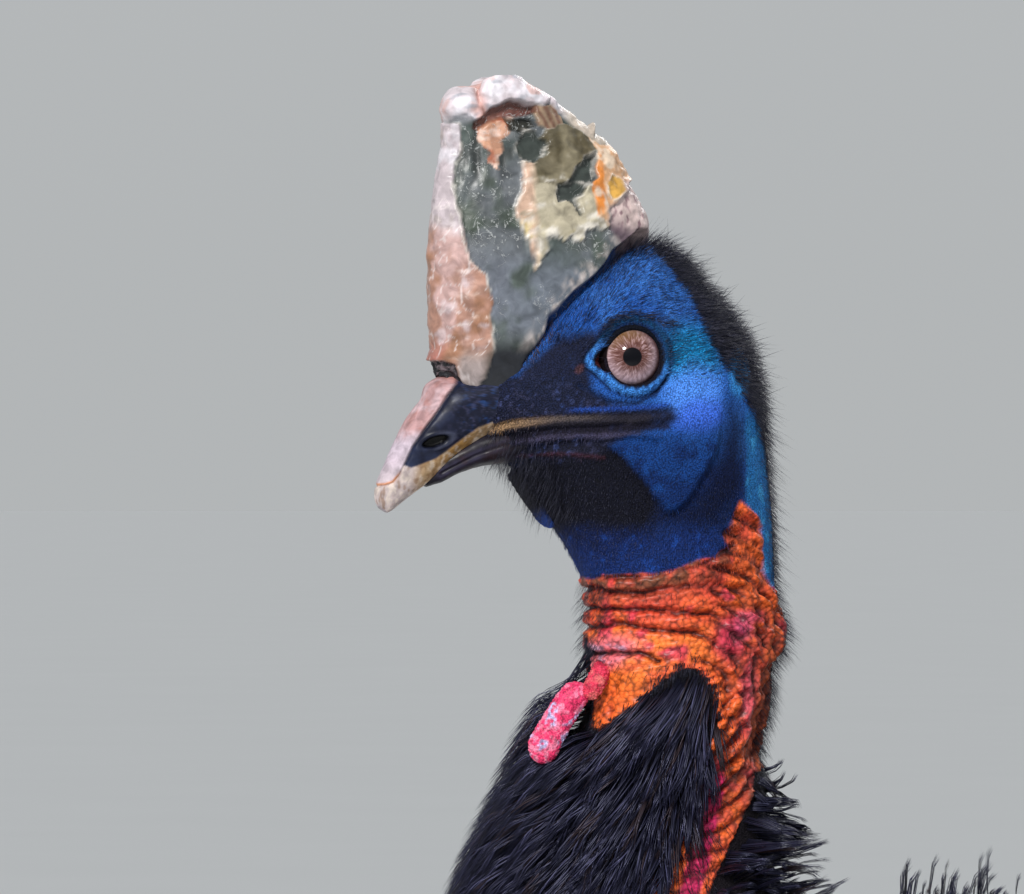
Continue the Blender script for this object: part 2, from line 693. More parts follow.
def coat_edge(angle):
    """Height below which the lower neck has feathers, by the angle from its front."""
    return np.interp(from_front(angle), [0.0, 0.18, 0.38, 0.66, 0.95, 1.2, 1.42, 1.55, 1.7, 1.85, 2.0, 2.05],
                     [1.07, 1.058, 1.032, 1.03, 1.04, 1.051, 1.057, 1.057, 1.048, 1.036, 1.005, 0.8])


def feathered(z, angle):
    """1 where the neck and body carry the long coat."""
    side = from_front(angle)
    bare_from = np.interp(z, [0.93, 0.959, 0.978, 1.004, 1.034], [1.52, 1.62, 1.74, 1.9, 1.92])
    front = (z < coat_edge(angle)) & (side < bare_from)
    nape_from = np.interp(z, [0.93, 0.959, 0.985, 1.012, 1.014], [1.84, 2.0, 2.34, 2.7, 3.3])
    nape = (side > nape_from) & (z < 1.014)
    return np.where(z < 0.932, 1.0, np.maximum(front, nape).astype(float))


def relief(points, angles, places):
    """How far the skin stands out in folds, granules, lids and flaps, and how deep its creases are."""
    x, y, z = (points[..., axis] for axis in range(3))
    side = from_front(angles)
    warp = cloud(points, 0.014, 41) * 0.0022 + cloud(points, 0.005, 42) * 0.001
    warm = patch(x, z + 0.5 * warp, WARM_SKIN, 0.001) * (places < 20)
    bare = warm * (1.0 - feathered(z, angles)) * fade(11.3, 12.0, places)
    crease = np.min([to_line(x, z + warp, line)[0] for line in CREASES], axis=0)
    front = fade(-0.33, -0.34, x)
    drawn = bell(crease, 0.0013) * front * (0.55 + 0.45 * fade(-0.5, 0.2, cloud(points, 0.02, 40)))
    # Behind and below, folds run in arcs round the top of the front coat
    reach = np.hypot((side - 1.48) * 0.036 * np.where(side > 1.48, 1.0, 0.5), z - 1.045)
    wave = np.abs(np.sin(math.pi * (reach + warp) / 0.0078))
    arc = 1.0 - wave ** 0.6
    arcs = arc * np.clip(fade(1.45, 1.75, side) + 0.45 * fade(1.066, 1.056, z), 0, 1)
    ropes = np.abs(np.sin(math.pi * (reach + 0.8 * warp + 0.002) / 0.0036)) ** 0.7
    bearing = np.arctan2(z - 1.045, (side - 1.48) * 0.036 + 1e-6)
    swirl = np.stack([reach + warp, 0.02 * bearing, y * 0.3], axis=-1)
    near, far = grains(swirl, 0.0068, 43)
    lump = fade(0.02, 0.5, far - near)
    near, far = grains((points + warp[..., None] * 0.6) * (1.0, 1.0, 1.35), 0.0031, 47)
    bead = fade(0.02, 0.45, far - near)
    rear = fade(1.35, 2.0, side) * fade(0.99, 1.01, z)
    deep = np.clip(np.maximum(drawn, arcs * 0.85), 0, 1)
    rough = (0.001 - 0.0036 * deep + 0.0006 * ropes * (1 - rear) + (0.0006 + 0.0026 * rear) * (lump - 0.5)
             + 0.0005 * (bead - 0.5) + 0.0014 * cloud(points, 0.012, 44))
    height = bare * rough
    hollow = np.clip(deep + 0.42 * rear * (1 - lump) + 0.18 * (1 - bead), 0, 1) * bare
    # The cheek flap, the mouth's ridges, the lids and the ear
    flap = patch(x, z, CHEEK_FLAP, 0.0015) * fade(1.172, 1.15, z)
    height += 0.0032 * flap
    for line, below, tall, width in MOUTH_RIDGES:
        height += tall * bell(to_line(x, z + below, line)[0], width)
    radius, turn = eye_polar(x, z)
    past = radius - lid_edge(turn)
    height += 0.0017 * bell(past, 0.002, 0.002)
    low = fade(0.004, -0.004, z - EYE_PLACE[2])
    height -= low * 0.0013 * bell(past, 0.0006, 0.005)
    height -= 0.001 * bell(to_line(x, z, LID_FOLD)[0], 0.0006)
    up = fade(0.004, 0.009, z - EYE_PLACE[2])
    height += 0.0022 * up * bell(past, 0.0028, 0.0062)
    height -= 0.0012 * up * bell(past, 0.001, 0.0022)
    height -= 0.0075 * fade(0.0004, -0.0008, past) * fade(0.0152, 0.013, radius)
    height -= 0.0026 * fade(0.0004, -0.0006, past) * fade(0.0125, 0.014, radius)
    ear = spot(x, z, (-0.334, 1.1835), (0.003, 0.005), -0.2)
    height -= 0.0014 * fade(1.2, 0.4, ear)
    height += 0.0006 * bell(ear, 0.4, 1.5)
    height += 0.00025 * cloud(points, 0.0026, 51, 1) * (places > 17)
    height -= 0.0062 * fade(1.9, 2.7, side) * fade(1.004, 1.022, z) * fade(1.075, 1.045, z)
    return height, hollow


def paint_skin(points, angles, places, hollow):
    """Colour and coarseness of the skin, from where it is on the bird before the head turns."""
    x, z = points[..., 0], points[..., 2]
    side = from_front(angles)
    xw = x + cloud(points, 0.01, 3) * 0.0018 + cloud(points, 0.003, 5) * 0.0008
    zw = z + cloud(points, 0.009, 4) * 0.0018
    mottle = cloud(points, 0.0035, 11, 2)

    def near(centre, radii, turn=0.0, outer=1.2, inner=0.4):
        """1 in the middle of an oval patch, and 0 outside it."""
        return fade(outer, inner, spot(xw, zw, centre, radii, turn))

    colour = Paint((0.016, 0.09, 0.37), points)
    colour.add((0.038, 0.15, 0.47), 0.7 * fade(-0.1, 0.6, cloud(points, 0.012, 21) + 0.6 * fade(1.205, 1.225, z)))
    colour.add((0.006, 0.04, 0.2), 0.6 * fade(0.1, 0.6, mottle))
    # Behind the eye, the ear and the cheek
    colour.add((0.008, 0.22, 0.48), 0.9 * near((-0.36, 1.19), (0.016, 0.016), 0.3, 1.25, 0.4))
    colour.add((0.075, 0.25, 0.82), 0.95 * near((-0.359, 1.1745), (0.017, 0.013), 0.4))
    colour.add((0.04, 0.12, 0.62), 0.8 * near((-0.357, 1.164), (0.016, 0.009), 0.2))
    # Throat and lower head
    throat = fade(1.162, 1.148, zw + 0.25 * (x + 0.39)) * fade(-0.325, -0.34, x)
    colour.add((0.005, 0.018, 0.095), throat * 0.92)
    flap = patch(xw, z, CHEEK_FLAP, 0.001)
    colour.add((0.005, 0.038, 0.175), flap * fade(1.166, 1.152, z) * 0.9)
    colour.add((0.003, 0.016, 0.085), flap * fade(0.0, 0.5, mottle + 0.5 * fade(1.15, 1.13, z))
               * fade(1.164, 1.15, z) * 0.8)
    outside = (1 - flap) * fade(1.156, 1.15, z)
    dark = near((-0.403, 1.133), (0.037, 0.029), -0.45, 1.15, 0.55) * outside
    colour.add((0.004, 0.004, 0.008), np.clip(dark * 1.2, 0, 1) * 0.97)
    colour.add((0.002, 0.005, 0.026), 0.94 * patch(xw, zw, BEHIND_CHEEK, 0.0085) * (1 - 0.85 * flap))
    collar = fade(1.121, 1.111, zw) * fade(1.086, 1.093, z) * fade(-0.325, -0.34, x)
    colour.add((0.006, 0.022, 0.125), collar * (0.6 + 0.35 * mottle))
    colour.add((0.01, 0.055, 0.28), collar * fade(0.25, 0.6, mottle) * 0.7)
    # Lores and the skin round the mouth
    lores = patch(xw, zw, LORES, 0.0028)
    colour.add((0.008, 0.009, 0.022), lores * 0.97)
    fleck = cloud(points, 0.0014, 15, 2)
    low_lores = 0.8 * fade(1.19, 1.176, z + 0.4 * (x + 0.43))
    colour.add((0.02, 0.052, 0.19), lores * fade(0.2, 0.6, fleck + 0.35 * mottle) * (0.22 + 0.4 * low_lores))
    colour.add((0.05, 0.05, 0.105), lores * low_lores * fade(0.1, 0.5, fleck - 0.2 * mottle) * 0.55)
    gap, along = to_line(x, z, UNDER_GAPE)
    colour.add((0.009, 0.007, 0.014), 0.8 * fade(
        0.0042, 0.0026, gap + 0.0009 * mottle + 0.0022 * fade(1.9, 2.9, along)))
    gap, along = to_line(x, z + 0.0014, GAPE)
    colour.add((0.018, 0.016, 0.024), 0.85 * fade(
        0.0028, 0.0014, gap + 0.0008 * mottle + 0.0024 * fade(3.0, 4.0, along)))
    gap, along = to_line(x, z, LOWER_LIP)
    colour.add((0.05, 0.044, 0.086), 0.65 * fade(
        0.0018, 0.0008, gap + 0.0008 * mottle + 0.0014 * fade(2.2, 3.8, along)))
    gap, _ = to_line(x, z, MOUTH_LINE)
    colour.add((0.05, 0.012, 0.018), 0.5 * fade(0.0013, 0.0002, gap + 0.0006 * mottle))
    gap, along = to_line(x, z + 0.0006, GAPE)
    colour.add((0.1, 0.08, 0.075), 0.75 * fade(0.0014, 0.0006, gap) * fade(2.9, 2.0, along))
    colour.add((0.27, 0.165, 0.085), 0.9 * fade(0.0023, 0.001, gap) * fade(2.2, 0.6, along))
    gap, along = to_line(x, z - 0.0028, GAPE)
    colour.add((0.014, 0.06, 0.33), 0.8 * fade(0.0012, 0.0004, gap) * fade(2.0, 2.4, along))
    # The crest, the nape strip and the ear
    crest_from = np.interp(z, CREST_EDGE_Z, CREST_EDGE_X)
    crest = fade(-0.001, 0.004, xw - crest_from) * fade(1.088, 1.094, z) * (places < 25)
    teal = fade(-0.3345, -0.3315, xw) * fade(1.172, 1.16, zw) * fade(1.083, 1.089, z)
    colour.add((0.016, 0.14, 0.36), teal * (0.8 + 0.2 * mottle))
    colour.add((0.05, 0.3, 0.6), teal * fade(0.1, 0.5, mottle) * 0.6)
    colour.add((0.02, 0.02, 0.034), crest * 0.95)
    ear = near((-0.3345, 1.1835), (0.006, 0.0105), -0.25, 1.3, 0.6)
    colour.add((0.03, 0.2, 0.5), ear * 0.9)
    # The lids
    radius, turn = eye_polar(x, z)
    past = radius - lid_edge(turn)
    low = fade(0.0045, -0.0035, z - EYE_PLACE[2] + 0.35 * (x - EYE_PLACE[0]))
    colour.add((0.004, 0.012, 0.052), fade(0.007, 0.005, past) * (1 - low) * 0.85)
    colour.add((0.004, 0.05, 0.12), bell(past, 0.001, 0.0038) * (1 - low) * 0.8)
    colour.add((0.045, 0.21, 0.62), low * fade(0.005, 0.0036, past) * 0.95)
    colour.add((0.01, 0.05, 0.2), low * fade(0.005, 0.0036, past)
               * fade(0.1, 0.4, cloud(points, 0.0016, 12, 1)) * 0.9)
    colour.add((0.002, 0.006, 0.024), low * bell(past, 0.0007, 0.005) * 0.95)
    gap, _ = to_line(x, z, LID_FOLD)
    colour.add((0.003, 0.01, 0.04), 0.85 * fade(0.0012, 0.0004, gap))
    colour.add(BLACK, fade(0.0016, 0.0009, past))
    corner = fade(0.0, -0.0006, past) * fade(0.0118, 0.0126, radius)
    colour.add((0.13, 0.026, 0.028), corner)
    papilla = fade(1.2, 0.6, spot(x, z, (-0.4093, 1.1844), (0.0024, 0.0017), 0.7))
    colour.add((0.062, 0.026, 0.03), papilla * 0.9)
    # Orange and red neck
    orange = patch(x, zw + 0.001 * cloud(points, 0.005, 14), WARM_SKIN, 0.0006) * (places < 20)
    warm = Paint(ORANGE, points)
    warm.add(AMBER, 0.85 * near((-0.372, 1.062), (0.027, 0.017), 0.0, 1.25, 0.3))
    warm.mottle(RED, 0.7, -0.05, 0.45, 0.013, 31)
    warm.add(CRIMSON, 0.75 * fade(0.15, 0.5, cloud(points, 0.008, 33, 2)) * fade(1.052, 1.066, z))
    warm.add(CRIMSON, 0.8 * near((-0.339, 1.07), (0.01, 0.012)))
    warm.add((0.72, 0.11, 0.24), 0.8 * near((-0.334, 1.074), (0.006, 0.008)))
    warm.add((0.8, 0.17, 0.22), 0.85 * near((-0.39, 1.0625), (0.016, 0.008), 0.35, 1.2, 0.5))
    warm.add((0.52, 0.36, 0.52), 0.75 * near((-0.39, 1.0635), (0.013, 0.005), 0.35, 1.2, 0.6)
             * fade(0.0, 0.4, cloud(points, 0.0032, 38, 2)))
    warm.add(CRIMSON, 0.8 * near((-0.399, 1.048), (0.008, 0.007), 0.0, 1.2, 0.5))
    warm.add((0.64, 0.08, 0.17), 0.75 * near((-0.326, 1.045), (0.006, 0.02), 0.1, 1.2, 0.5))
    rim_z = np.interp(x, [-0.415, -0.3919, -0.3758, -0.3606, -0.349, -0.3427, -0.3373],
                      [1.093, 1.096, 1.096, 1.101, 1.105, 1.11, 1.127])
    warm.add(RED, 0.7 * fade(-0.022, -0.008, z - rim_z) * fade(-0.337, -0.345, x))
    warm.add(OLIVE, 0.9 * fade(-0.016, -0.002, z - rim_z) * fade(-0.55, 0.1, cloud(points, 0.0045, 37))
             * fade(-0.337, -0.345, x))
    warm.add((0.55, 0.06, 0.055), 0.55 * fade(1.9, 2.2, side) * fade(1.088, 1.075, z)
             * fade(-0.2, 0.3, cloud(points, 0.007, 39)))
    warm.add((0.2, 0.055, 0.018), 0.75 * fade(2.25, 2.6, side) * fade(1.085, 1.055, z))
    gap, _ = to_line(x, z, MAGENTA_STRIP)
    strip = fade(0.0052, 0.0034, gap + 0.0018 * cloud(points, 0.008, 35)) * fade(1.024, 1.01, z)
    warm.add((0.46, 0.008, 0.095), strip * 0.96)
    warm.add((0.5, 0.03, 0.085), 0.8 * fade(1.03, 1.0, z) * fade(0.1, 0.5, cloud(points, 0.009, 36))
             * (1 - strip))
    warm.add((0.17, 0.012, 0.014), np.clip(hollow, 0, 1) * 0.72)
    warm.add((0.035, 0.01, 0.01), fade(0.75, 1.0, hollow) * 0.7)
    colour.add(warm, orange)
    coat = feathered(z - 0.004, angles) * feathered(z, angles)
    colour.add((0.008, 0.006, 0.009), coat * (places < 17))
    return np.clip(colour.now, 0.0005, 0.9), orange * (1.0 - coat)


def skin_grid():
    """Section numbers and angles of the skin's points."""
    places = np.concatenate([number + np.arange(rows) / rows for number, rows in enumerate(SKIN_ROWS)]
                            + [[LAST_SECTION]])
    angles = around(SKIN_COLUMNS)
    return np.meshgrid(places, angles, indexing="ij")


skin_places, skin_angles = skin_grid()
straight = straight_form(skin_places, skin_angles)
skin_height, skin_hollow = relief(straight, skin_angles, skin_places)
skin_tint, skin_pebble = paint_skin(straight, skin_angles, skin_places, skin_hollow)
straight = raised(straight, skin_height)
skin_share = smooth_between(SECTIONS, skin_places)[..., 5]
skin_points = turn_about_nape(straight, HEAD_TURN * skin_share)


def stepped(sections, count, name):
    """Rows on a smooth curve through a leg's sections, moved by its step."""
    rows = smooth_between(sections, np.linspace(0, len(sections) - 1, count))
    return rows + np.array([STEP[name]] * 2 + [0, 0])


def leg_rows(side, rows, columns=48):
    """Round sections of a leg as a grid: front x, rear x, z, half width."""
    angles = around(columns)
    rows = np.asarray(rows)[:, None]
    middle, half = (rows[..., 0] + rows[..., 1]) / 2, (rows[..., 1] - rows[..., 0]) / 2
    return np.stack([middle - half * np.cos(angles), side * LEG_Y - rows[..., 3] * np.sin(angles),
                     np.broadcast_to(rows[..., 2], (len(rows), columns))], axis=-1)


# Legs: how far out, how far each has stepped, and the thigh's sections: front x, rear x, z, half width
LEG_Y = 0.098
STEP = {"left": -0.035, "right": 0.03}
SIDES = {"left": -1, "right": 1}
THIGH = [(-0.02, 0.1, 0.64, 0.05), (-0.05, 0.125, 0.6, 0.066), (-0.03, 0.128, 0.53, 0.06),
         (-0.005, 0.13, 0.47, 0.051), (0.028, 0.133, 0.415, 0.039), (0.066, 0.137, 0.372, 0.027),
         (0.084, 0.138, 0.353, 0.022), (0.086, 0.136, 0.345, 0.019)]

skins = [wrapped("skin", skin_points, skin_finish, tint=skin_tint, pebble=skin_pebble)]
for name, side in SIDES.items():
    grid = leg_rows(side, stepped(THIGH, 40, name))
    dark = np.broadcast_to(np.array(BLACK), grid.shape)
    skins.append(wrapped("thigh_skin_" + name, grid, skin_finish, tint=dark, pebble=np.zeros(grid.shape[:2])))
skin = fused(skins)
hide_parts("head", "neck_upper", "neck_lower", "torso", "tail", "thigh_left", "thigh_right")


# Eyes and lids

def head_place(x, y, z):
    """Where a place on the straight head is once the head has turned."""
    return turn_about_nape(np.array([x, y, z], float), HEAD_TURN)


def lid_ring(name, side, grow, radius, depth, colours):
    """A soft rim round the eye's opening, with its pointed front corner."""
    count, sides = 120, 14
    turn = around(count)
    reach = lid_edge(turn) + grow
    ahead, up = reach * np.cos(turn), reach * np.sin(turn)
    out = np.sqrt(np.maximum(EYE_RADIUS ** 2 - np.minimum(reach, 0.0134) ** 2, 0)) + depth
    out = out + 0.0012 * fade(0.0138, 0.0168, reach)
    thick = radius * (1.0 + 0.9 * fade(0.2, 0.9, np.sin(turn + 0.25)))
    centre = np.stack([EYE_PLACE[0] - ahead, side * (EYE_PLACE[1] + out), EYE_PLACE[2] + up], axis=-1)
    away = np.stack([-np.cos(turn), np.zeros(count), np.sin(turn)], axis=-1)
    level = np.array([0.0, side, 0.0])
    phase = around(sides)
    grid = (centre[None] + thick[None, :, None] * np.cos(phase)[:, None, None] * away[None]
            + thick[None, :, None] * np.sin(phase)[:, None, None] * level)
    grid = np.concatenate([grid, grid[:1]], axis=0)
    upper, lower = colours
    tint = blend(lower, upper, np.broadcast_to(fade(-0.3, 0.2, np.sin(turn)), grid.shape[:2]))
    return wrapped(name, turn_about_nape(grid, HEAD_TURN), skin_finish, (False, False),
                   tint=tint, pebble=np.zeros(grid.shape[:2]))


eye_material = eye_finish()
for name, side in SIDES.items():
    bm = bmesh.new()
    bmesh.ops.create_uvsphere(bm, u_segments=96, v_segments=64, radius=EYE_RADIUS)
    layer = bm.loops.layers.uv.new("Iris")
    for vert in bm.verts:
        flat = math.hypot(vert.co.x, vert.co.z)
        if vert.co.y * side > 0:
            vert.co.y += side * CORNEA_BULGE * max(0.0, 1.0 - (flat / CORNEA_RADIUS) ** 2)
    for face in bm.faces:
        for corner in face.loops:
            corner[layer].uv = ((corner.vert.co.x + PUPIL_AHEAD) / EYE_RADIUS, corner.vert.co.z / EYE_RADIUS)
    place = head_place(EYE_PLACE[0], side * EYE_PLACE[1], EYE_PLACE[2])
    bmesh.ops.transform(bm, verts=bm.verts, matrix=Matrix.Translation(place) @ Matrix.Rotation(HEAD_TURN, 4, "Z"))
    mesh = bpy.data.meshes.new("eyeball_" + name)
    bm.to_mesh(mesh)
    bm.free()
    mesh.shade_smooth()
    eye = shown("eyeball_" + name, mesh, eye_material)
    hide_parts("eye_" + name)
    lid = lid_ring("lid_" + name, side, 0.0003, 0.0007, 0.0009, ((0.002, 0.003, 0.008), (0.01, 0.006, 0.012)))


# Casque

# Its sections, from the head up: front (x, z), rear (x, z), half width
CASQUE = [
    (-0.448, 1.166, -0.372, 1.215, 0.0215),
    (-0.464, 1.18, -0.3683, 1.245, 0.021),
    (-0.4674, 1.1973, -0.372, 1.256, 0.0195),
    (-0.4683, 1.2287, -0.3774, 1.267, 0.0165),
    (-0.4668, 1.2575, -0.384, 1.279, 0.013),
    (-0.4638, 1.279, -0.3945, 1.2865, 0.0102),
    (-0.4616, 1.2985, -0.412, 1.2985, 0.0082),
    (-0.452, 1.3055, -0.427, 1.3065, 0.0055),
]
CASQUE_ROWS = 248
CASQUE_COLUMNS = 240
CASQUE_FULLNESS = 0.85
# Regions and lines of its side before the head turns
PLATE = outline(-4900, 12900, -4585, 12900, -4575, 12779, -4589, 12752, -4610, 12725, -4617, 12618, -4603, 12551,
                -4575, 12484, -4557, 12400, -4544, 12310, -4485, 12242, -4459, 12156, -4446, 12125, -4466, 12060,
                -4453, 11934, -4453, 11891, -4466, 11823, -4496, 11778, -4540, 11772, -4578, 11817, -4592, 11862,
                -4632, 11882, -4900, 11876)
# The lower edge of the roll on top
ROLL_X = [-0.47, -0.4572, -0.451, -0.4473, -0.4431, -0.4346, -0.4247, -0.4148, -0.4085, -0.4035, -0.3979,
          -0.39]
ROLL_Z = [1.29, 1.2915, 1.2902, 1.2914, 1.2946, 1.2973, 1.2979, 1.298, 1.2934, 1.289, 1.285, 1.28]
UNDER_ROLL = outline(-4530, 12870, -4508, 12905, -4431, 12944, -4346, 12978, -4225, 12984, -4225, 12947,
                     -4318, 12918, -4417, 12904, -4508, 12862)
STRIPED_SHELL = outline(-4230, 12985, -4137, 12974, -4081, 12927, -4067, 12880, -4123, 12860, -4180, 12867,
                        -4215, 12887, -4236, 12940)
FLAKES = outline(-4525, 12880, -4490, 12908, -4380, 12922, -4330, 12890, -4345, 12850, -4375, 12812, -4398, 12752,
                 -4405, 12690, -4441, 12725, -4470, 12800, -4505, 12835)
CREVICE = outline(-4365, 12895, -4254, 12912, -4222, 12887, -4300, 12850, -4348, 12862)
HOLE = outline(-4318, 12810, -4271, 12862, -4229, 12862, -4210, 12822, -4182, 12793, -4207, 12755, -4243, 12720,
               -4267, 12720, -4303, 12757)
SLANTED_HOLE = outline(-3938, 12770, -3966, 12645, -4006, 12625, -4048, 12571, -4070, 12560, -4055, 12494,
                       -4100, 12556, -4143, 12556, -4158, 12584, -4147, 12630, -4119, 12620, -4083, 12647,
                       -4048, 12701, -4006, 12743)
SHELL = outline(-4214, 12820, -4186, 12867, -4073, 12892, -3974, 12852, -3925, 12806, -3925, 12766, -3988, 12750,
                -4045, 12699, -4087, 12645, -4130, 12618, -4186, 12631, -4229, 12631, -4255, 12658, -4243, 12712,
                -4186, 12759)
BRIDGE = outline(-4305, 12730, -4299, 12618, -4320, 12571, -4334, 12497, -4306, 12437, -4292, 12383, -4270, 12316,
                 -4256, 12262, -4221, 12316, -4200, 12349, -4200, 12410, -4164, 12410, -4129, 12388, -4101, 12416,
                 -4087, 12394, -4051, 12394, -4030, 12443, -3974, 12443, -3924, 12450, -3900, 12500, -3950, 12600,
                 -4009, 12640, -4193, 12645, -4243, 12660, -4235, 12725)
REAR_FLAKES = outline(-3960, 12870, -3840, 12880, -3700, 12700, -3780, 12640, -3819, 12605, -3905, 12525,
                      -3918, 12457, -3974, 12484, -3984, 12618, -3953, 12658, -3932, 12766)
AMBER_FLAKE = outline(-3914, 12640, -3872, 12667, -3815, 12650, -3822, 12605, -3886, 12562, -3916, 12584)
STUBBLE = outline(-3820, 12650, -3600, 12640, -3600, 12300, -3847, 12350, -3889, 12416, -3924, 12457, -3912, 12520,
                  -3825, 12605)
LOWER_RIM = outline(-3760, 12440, -3892, 12353, -3931, 12292, -4002, 12236, -4086, 12175, -4151, 12100,
                    -4197, 12063, -4216, 11989, -4261, 11934, -4307, 11880)
# What closes the part of the casque below that rim, which is sunk under the skin
SUNK_FOOT = outline(-4307, 11500, -3300, 11500, -3300, 12440)
# Knobs of the roll on top: middle, radii, height
KNOBS = [((-0.4575, 1.299), (0.0065, 0.0075), 0.0022), ((-0.4345, 1.303), (0.0125, 0.008), 0.003),
         ((-0.418, 1.3), (0.01, 0.006), 0.0014)]


def outlined(x, z, corners):
    """A line along the edge of a region."""
    gap, _ = to_line(x, z, list(corners) + [corners[0]])
    return gap


def casque():
    """The casque: layered, flaking horn with a swollen roll on top and a smooth front plate."""
    places = np.concatenate([np.linspace(0.0, 0.95, 14), np.linspace(1.0, 7.0, CASQUE_ROWS - 14)])
    rows = smooth_between(CASQUE, places)
    angles = around(CASQUE_COLUMNS)
    grid = round_section(rows[:, None, :], np.broadcast_to(angles, (CASQUE_ROWS, CASQUE_COLUMNS)),
                         CASQUE_FULLNESS)
    x, z = grid[..., 0], grid[..., 2]
    coarse = cloud(grid, 0.011, 61)
    jag = coarse * 0.0016 + cloud(grid, 0.0038, 62, 2) * 0.0012
    xw, zw = x + jag, z + cloud(grid, 0.01, 63) * 0.0016 + cloud(grid, 0.0034, 60, 2) * 0.001
    soft = 0.00045
    plate = patch(x + 0.4 * jag, zw, PLATE, soft)
    step = np.interp(x, [-0.457, -0.45], [0.006, 0.0007])
    roll = fade(-step, step, z + 0.6 * jag - np.interp(x, ROLL_X, ROLL_Z))
    below = 1.0 - roll
    shell, bridge, rear, striped = (patch(xw, zw, region, soft) * below
                                    for region in (SHELL, BRIDGE, REAR_FLAKES, STRIPED_SHELL))
    flakes = patch(xw + 1.2 * jag, zw + 1.5 * jag, FLAKES, soft) * below
    under = patch(xw, z, UNDER_ROLL, 0.001) * below
    stubble = patch(xw, zw, STUBBLE, 0.0016)
    hole = np.maximum(patch(xw, zw, HOLE, soft), patch(xw, zw, SLANTED_HOLE, soft)) * below
    crevice = patch(xw, zw, CREVICE, 0.0008) * below
    crust = np.clip(shell + bridge + rear + striped, 0, 1) * (1 - hole)
    throat = fade(1.1892, 1.1872, z) * (1 - patch(x, z, PLATE, 0.0006)) * fade(-0.4555, -0.4585, x)

    # Relief: the roll with its knobs, layered flakes with raised edges, folds and scratches
    height = 0.0013 * plate + 0.0017 * crust - 0.0019 * hole - 0.003 * crevice - 0.0026 * under
    for centre, radii, tall in KNOBS:
        height += tall * fade(1.4, 0.2, spot(x, z, centre, radii)) * roll
    height += roll * (0.0019 + 0.0014 * cloud(grid, 0.009, 64) + 0.0006 * cloud(grid, 0.0035, 65, 2))
    height -= 0.0016 * roll * bell(x + 0.447 + 0.35 * (z - 1.299), 0.0016)
    rims = sum(bell(outlined(xw, zw, corners), 0.0006) * mask for corners, mask in (
        (SLANTED_HOLE, below), (HOLE, below), (BRIDGE, below), (PLATE, 1.0), (AMBER_FLAKE, below)))
    edge = np.clip(rims, 0, 1) * fade(1.19, 1.196, z) * fade(-0.25, 0.25, cloud(grid, 0.0045, 59))
    height += 0.0007 * edge
    folds = cloud(grid * (1.0, 1.0, 0.42), 0.005, 67, 2)
    front_folds = fade(1.252, 1.262, z) * fade(-0.429, -0.434, x) * (1 - plate) * below
    height += 0.0014 * front_folds * folds
    ripples = cloud(grid * (0.7, 1.0, 1.5), 0.007, 68, 3)
    height += plate * 0.0009 * ripples + crust * 0.0013 * cloud(grid, 0.005, 66) + 0.0004 * coarse
    wrinkles = np.abs(cloud(grid * (0.5, 1.0, 1.8), 0.004, 58, 2))
    height -= (0.0008 + 0.0012 * fade(0.0, 0.3, wrinkles)) * throat
    height += 0.0004 * stubble * cloud(grid, 0.0016, 69, 1)
    height += 0.0034 * fade(1.3, 0.2, spot(x, z, (-0.3925, 1.2862), (0.0016, 0.0034)))
    sunk = patch(x + 0.8 * jag, z, LOWER_RIM + SUNK_FOOT, 0.0012)
    height -= 0.0065 * sunk * fade(0.1, 0.5, np.abs(np.sin(angles)))[None, :]
    grid = raised(grid, height)
    # Its outline: leaner in front and behind, with two humps on top
    ahead = fade(0.2, 0.9, np.cos(angles))[None, :]
    behind = fade(0.2, 0.9, -np.cos(angles))[None, :]
    grid[..., 0] += ahead * np.interp(z, [1.188, 1.193, 1.244, 1.255, 1.291, 1.304],
                                      [0.0, 0.002, 0.0018, 0.0027, 0.0032, 0.0034])
    grid[..., 0] -= behind * np.interp(z, [1.244, 1.259, 1.268, 1.278, 1.285, 1.291, 1.302],
                                       [0.001, 0.0012, 0.0027, 0.0038, 0.004, 0.0023, 0.001])
    grid[..., 2] += fade(1.287, 1.3, z) * np.interp(
        x, [-0.4615, -0.4583, -0.4484, -0.4466, -0.4407, -0.4357, -0.4312, -0.4267],
        [-0.0032, -0.0021, -0.0019, 0.0004, 0.0023, 0.0019, 0.001, -0.001])

    # Grey-green side, milky and dark in clouds
    milk = cloud(grid, 0.02, 71)
    colour = Paint((0.068, 0.088, 0.082), grid)
    colour.add((0.112, 0.124, 0.138), fade(-0.2, 0.5, milk + 0.25 * fade(1.225, 1.24, z)))
    colour.add((0.165, 0.185, 0.235), 0.7 * fade(1.24, 1.222, z) * fade(1.195, 1.205, z))
    colour.mottle((0.04, 0.06, 0.036), 0.75, 0.0, 0.5, 0.012, 72)
    colour.add((0.03, 0.035, 0.034), front_folds * fade(-0.05, -0.45, folds) * 0.85)
    colour.add((0.2, 0.21, 0.22), front_folds * fade(0.15, 0.5, folds) * 0.7)
    rim_gap, _ = to_line(x, z, LOWER_RIM)
    fibres = cloud(grid * (1.0, 1.0, 0.55), 0.0018, 73, 2)
    colour.add((0.5, 0.44, 0.42), fade(0.0085, 0.002, rim_gap + 0.9 * jag)
               * fade(-0.25, 0.25, fibres) * (1 - plate) * 0.85)
    colour.add((0.05, 0.036, 0.04), fade(0.0014, 0.0002, rim_gap) * fade(-0.3, 0.3, fibres) * 0.8)
    colour.add((0.012, 0.05, 0.2), sunk * (1 - plate))
    colour.add((0.012, 0.014, 0.02), fade(1.199, 1.19, z + 0.9 * jag) * (1 - plate))
